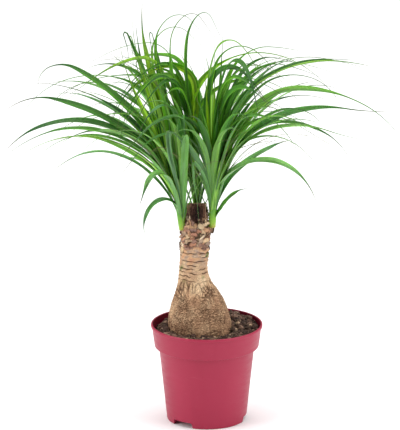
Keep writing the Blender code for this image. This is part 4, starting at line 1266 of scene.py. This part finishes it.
def pot_outline():
    """The pot's section, from the floor's centre up, over the rim and down."""
    floor_top = FLOOR_RAISE + WALL
    shelf = COLLAR_FOOT + 0.0018
    lip_foot = POT_HEIGHT - LIP_HEIGHT
    inner_lip = RIM_RADIUS - LIP_THICKNESS
    inside = [
        (0.0, floor_top, 0.0),
        (inner_radius(floor_top), floor_top, 0.0030),
        (inner_radius(COLLAR_FOOT - 0.0010), COLLAR_FOOT - 0.0010, 0.0010),
        (inner_radius(shelf), shelf, 0.0008),
        (inner_lip, lip_foot, 0.0004),
        (inner_lip, POT_HEIGHT, 0.0007),
    ]
    outside = [
        (RIM_RADIUS, POT_HEIGHT, 0.0009),
        (RIM_RADIUS, lip_foot, 0.0006),
        (RIM_RADIUS - 0.0012, lip_foot - 0.0002, 0.0003),
        (COLLAR_RADIUS, COLLAR_FOOT, 0.0012),
        (BODY_RADIUS, COLLAR_FOOT, 0.0005),
        (FOOT_RADIUS, 0.0, 0.0012),
        (FOOT_RADIUS - 0.0035, 0.0, 0.0008),
        (FOOT_RADIUS - FOOT_RING_WIDTH, FLOOR_RAISE, 0.0008),
        (0.0, FLOOR_RAISE, 0.0),
    ]
    return filleted(inside + outside)


def turned_mesh(name, outline, mat):
    """The pot as a closed mesh turned about Z, with one point at each end."""
    rows = [circle(turns(POT_SEGMENTS), radius, height) for radius, height in outline[1:-1]]
    vertices = list(np.vstack(rows)) + [(0, 0, outline[0][1]), (0, 0, outline[-1][1])]
    faces = [face[::-1] for face in ring_faces(len(rows), POT_SEGMENTS)]
    top, bottom = len(vertices) - 2, len(vertices) - 1
    last = (len(rows) - 1) * POT_SEGMENTS
    for i in range(POT_SEGMENTS):
        j = (i + 1) % POT_SEGMENTS
        faces.append((i, j, top))
        faces.append((last + j, last + i, bottom))
    return add_mesh(name, vertices, faces, mat)


def notch_block(bearing):
    """A block with sloping ends that opens the foot ring to the ground."""
    low, high = (width / 2 for width in NOTCH_WIDTHS)
    deep = NOTCH_DEPTH / 2
    corners = [(x, y * side, z) for z, y in ((-NOTCH_HEIGHT, low), (NOTCH_HEIGHT, high))
               for x, side in ((-deep, -1), (deep, -1), (deep, 1), (-deep, 1))]
    turn = Matrix.Rotation(math.radians(bearing), 3, "Z")
    vertices = [turn @ Vector(corner) + on_circle(FOOT_RADIUS, bearing) for corner in corners]
    return vertices, loft_faces(2, 4)


def drain_plug(index):
    centre = on_circle(DRAIN_RING, DRAIN_FIRST + index * 360.0 / DRAIN_COUNT)
    path = [centre + Vector((0, 0, z)) for z in (0.001, 0.014)]
    return tube(path, [DRAIN_RADIUS] * 2, 32)


def dress_pot(mat):
    pot = turned_mesh("pot_plastic", pot_outline(), mat)
    cutters = Parts()
    for bearing in NOTCH_BEARINGS:
        cutters.add(*notch_block(bearing))
    for index in range(DRAIN_COUNT):
        cutters.add(*drain_plug(index))
    cutter = cutters.build("pot_cutter", mat)
    opening = pot.modifiers.new("Openings", "BOOLEAN")
    opening.operation = "DIFFERENCE"
    opening.object = cutter
    graph = bpy.context.evaluated_depsgraph_get()
    mesh = bpy.data.meshes.new_from_object(pot.evaluated_get(graph))
    pot.modifiers.clear()
    pot.data = mesh
    bpy.data.objects.remove(cutter, do_unlink=True)
    mesh.shade_smooth()
    mesh.set_sharp_from_angle(angle=math.radians(40))
    # the inner wall's points, which the look paints darker as shade
    inside = [float(is_inside(vertex.co)) for vertex in mesh.vertices]
    add_values(pot, "inside", inside)
    place(pot, "pot_plastic", "pot")


def is_inside(point):
    """Whether a point of the pot faces its soil."""
    reach = math.hypot(point.x, point.y)
    return point.z > FLOOR_RAISE + 0.0005 and reach < inner_radius(point.z) + WALL / 2


# --------------------------------------------------------------------- peat
class Soil:
    """The surface of the CAD's soil, to lay things on."""

    def __init__(self):
        self.tree = surface_tree("soil")
        low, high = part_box("soil")
        self.top, self.reach = high.z, (high.x - low.x) / 2

    def spot(self, rng, share):
        """A random place's radius and its point, or None in the trunk's hole."""
        radius = self.reach * math.sqrt(rng.random()) * share
        turn = rng.uniform(0.0, 2 * math.pi)
        above = Vector((radius * math.cos(turn), radius * math.sin(turn), self.top + 0.01))
        hit = self.tree.ray_cast(above, Vector((0, 0, -1)))[0]
        in_hole = hit is None or hit.z < self.top - TRUNK_HOLE
        return radius, None if in_hole else hit


def round_body():
    """Points and faces of a small ball to shape crumbs from."""
    bpy.ops.mesh.primitive_ico_sphere_add(subdivisions=2, radius=1.0)
    ball = bpy.context.object
    points = np.array([v.co for v in ball.data.vertices])
    faces = [tuple(p.vertices) for p in ball.data.polygons]
    bpy.data.objects.remove(ball, do_unlink=True)
    return points, faces


def crumb(points, size, rng):
    """One crumb: a ball squeezed three ways, turned and dented."""
    shape = points * [rng.uniform(*squeeze) for squeeze in CRUMB_SQUEEZE]
    shift = Vector([rng.uniform(0, 50) for _ in range(3)])
    dents = np.array([noise.noise(Vector(p) * 1.7 + shift) for p in points])
    shape = shape * (1.0 + CRUMB_DENTS * dents)[:, None]
    turn = (Matrix.Rotation(rng.uniform(0, 2 * math.pi), 3, "Z")
            @ Matrix.Rotation(rng.uniform(-CRUMB_TILT, CRUMB_TILT), 3, "X"))
    return (shape @ np.array(turn).T) * size


def dress_crumbs(soil):
    rng = random.Random(CRUMB_SEED)
    ball, faces = round_body()
    parts = Parts("tone")
    kept = 0
    while kept < CRUMB_COUNT:
        radius, spot = soil.spot(rng, CRUMB_REACH[0])
        size = CRUMB_SIZE[0] + CRUMB_SIZE[1] * rng.random() ** 2.0
        if spot is None or radius + size > soil.reach * CRUMB_REACH[1]:
            continue
        body = crumb(ball, size, rng) + np.array(spot)
        body[:, 2] += size * rng.uniform(*CRUMB_LIFT)
        parts.add(body, faces, tone=rng.random() ** 1.2)
        kept += 1
    place(parts.build("peat_crumbs", crumb_look()), "soil_peat")


def strand(start, rng, length):
    """A curly fibre that wanders near where it starts."""
    heading = rng.uniform(0, 2 * math.pi)
    curl = rng.uniform(-FIBRE_CURL, FIBRE_CURL)
    point, path = np.array(start, float), []
    step = length / FIBRE_STEPS
    for k in range(FIBRE_STEPS):
        path.append(point.copy())
        heading += curl + rng.uniform(-FIBRE_WANDER, FIBRE_WANDER)
        rise = FIBRE_ARCH * math.sin(math.pi * 2 * k / FIBRE_STEPS) / FIBRE_STEPS
        point = point + [math.cos(heading) * step, math.sin(heading) * step, rise]
    return path


def dress_fibres(soil):
    rng = random.Random(FIBRE_SEED)
    parts = Parts("tone")
    kept = 0
    while kept < FIBRE_COUNT:
        _, spot = soil.spot(rng, FIBRE_REACH[0])
        if spot is None:
            continue
        start = spot + Vector((0, 0, rng.uniform(*FIBRE_RAISE)))
        path = strand(start, rng, rng.uniform(*FIBRE_LENGTH))
        if max(math.hypot(p[0], p[1]) for p in path) > soil.reach * FIBRE_REACH[1]:
            continue
        thinning = 1.0 - FIBRE_THINNING * np.arange(FIBRE_STEPS) / FIBRE_STEPS
        radii = rng.uniform(*FIBRE_RADIUS) * thinning
        parts.add(*tube(path, radii, 6), tone=rng.random())
        kept += 1
    place(parts.build("peat_fibres", fibre_look()), "soil_peat")


# ---------------------------------------------------------- stage and light
def repaint(node, mat):
    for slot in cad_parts[node].material_slots:
        slot.material = mat


def add_softbox(name, box):
    lamp = bpy.data.lights.new(name, "AREA")
    lamp.shape = "RECTANGLE"
    lamp.size, lamp.size_y = box.size
    lamp.energy = box.power
    obj = add_object(name, lamp)
    obj.location = box.place
    aim = Vector(box.target) - Vector(box.place)
    obj.rotation_euler = aim.to_track_quat("-Z", "Y").to_euler()


def build_stage():
    half = FLOOR_SIZE / 2
    corners = [(-half, -half, 0), (half, -half, 0), (half, half, 0), (-half, half, 0)]
    floor = add_mesh("floor", corners, [(0, 1, 2, 3)], floor_look())
    world = bpy.data.worlds.new("studio")
    bpy.context.scene.world = world
    world.use_nodes = True
    background = world.node_tree.nodes["Background"]
    background.inputs["Color"].default_value = (1.0, 1.0, 1.0, 1.0)
    background.inputs["Strength"].default_value = WORLD_STRENGTH
    for name, box in SOFTBOXES.items():
        add_softbox(name, box)
    bpy.context.scene.view_settings.view_transform = "Standard"


def build_camera():
    data = bpy.data.cameras.new("camera")
    data.lens = CAMERA_LENS
    data.sensor_width = 36.0
    data.clip_end = 100.0
    camera = add_object("camera", data)
    back = Vector((0.0, -math.cos(CAMERA_ELEVATION), math.sin(CAMERA_ELEVATION)))
    camera.location = CAMERA_TARGET + back * CAMERA_DISTANCE
    camera.rotation_euler = (-back).to_track_quat("-Z", "Y").to_euler()
    bpy.context.scene.camera = camera


repaint("soil", peat_look())
dress_pot(pot_look())
bark = bark_look()
dress_trunk(bark)
dress_flakes(bark)
soil_surface = Soil()
dress_crumbs(soil_surface)
dress_fibres(soil_surface)
leaf_material = leaf_look()
filler_rng = random.Random(FILLER_SEED)
for shoot_name, its_shoot in SHOOTS.items():
    its_leaves = place_leaves(shoot_name, its_shoot, filler_rng)
    dress_shoot(shoot_name, its_leaves, leaf_material)
build_stage()
build_camera()
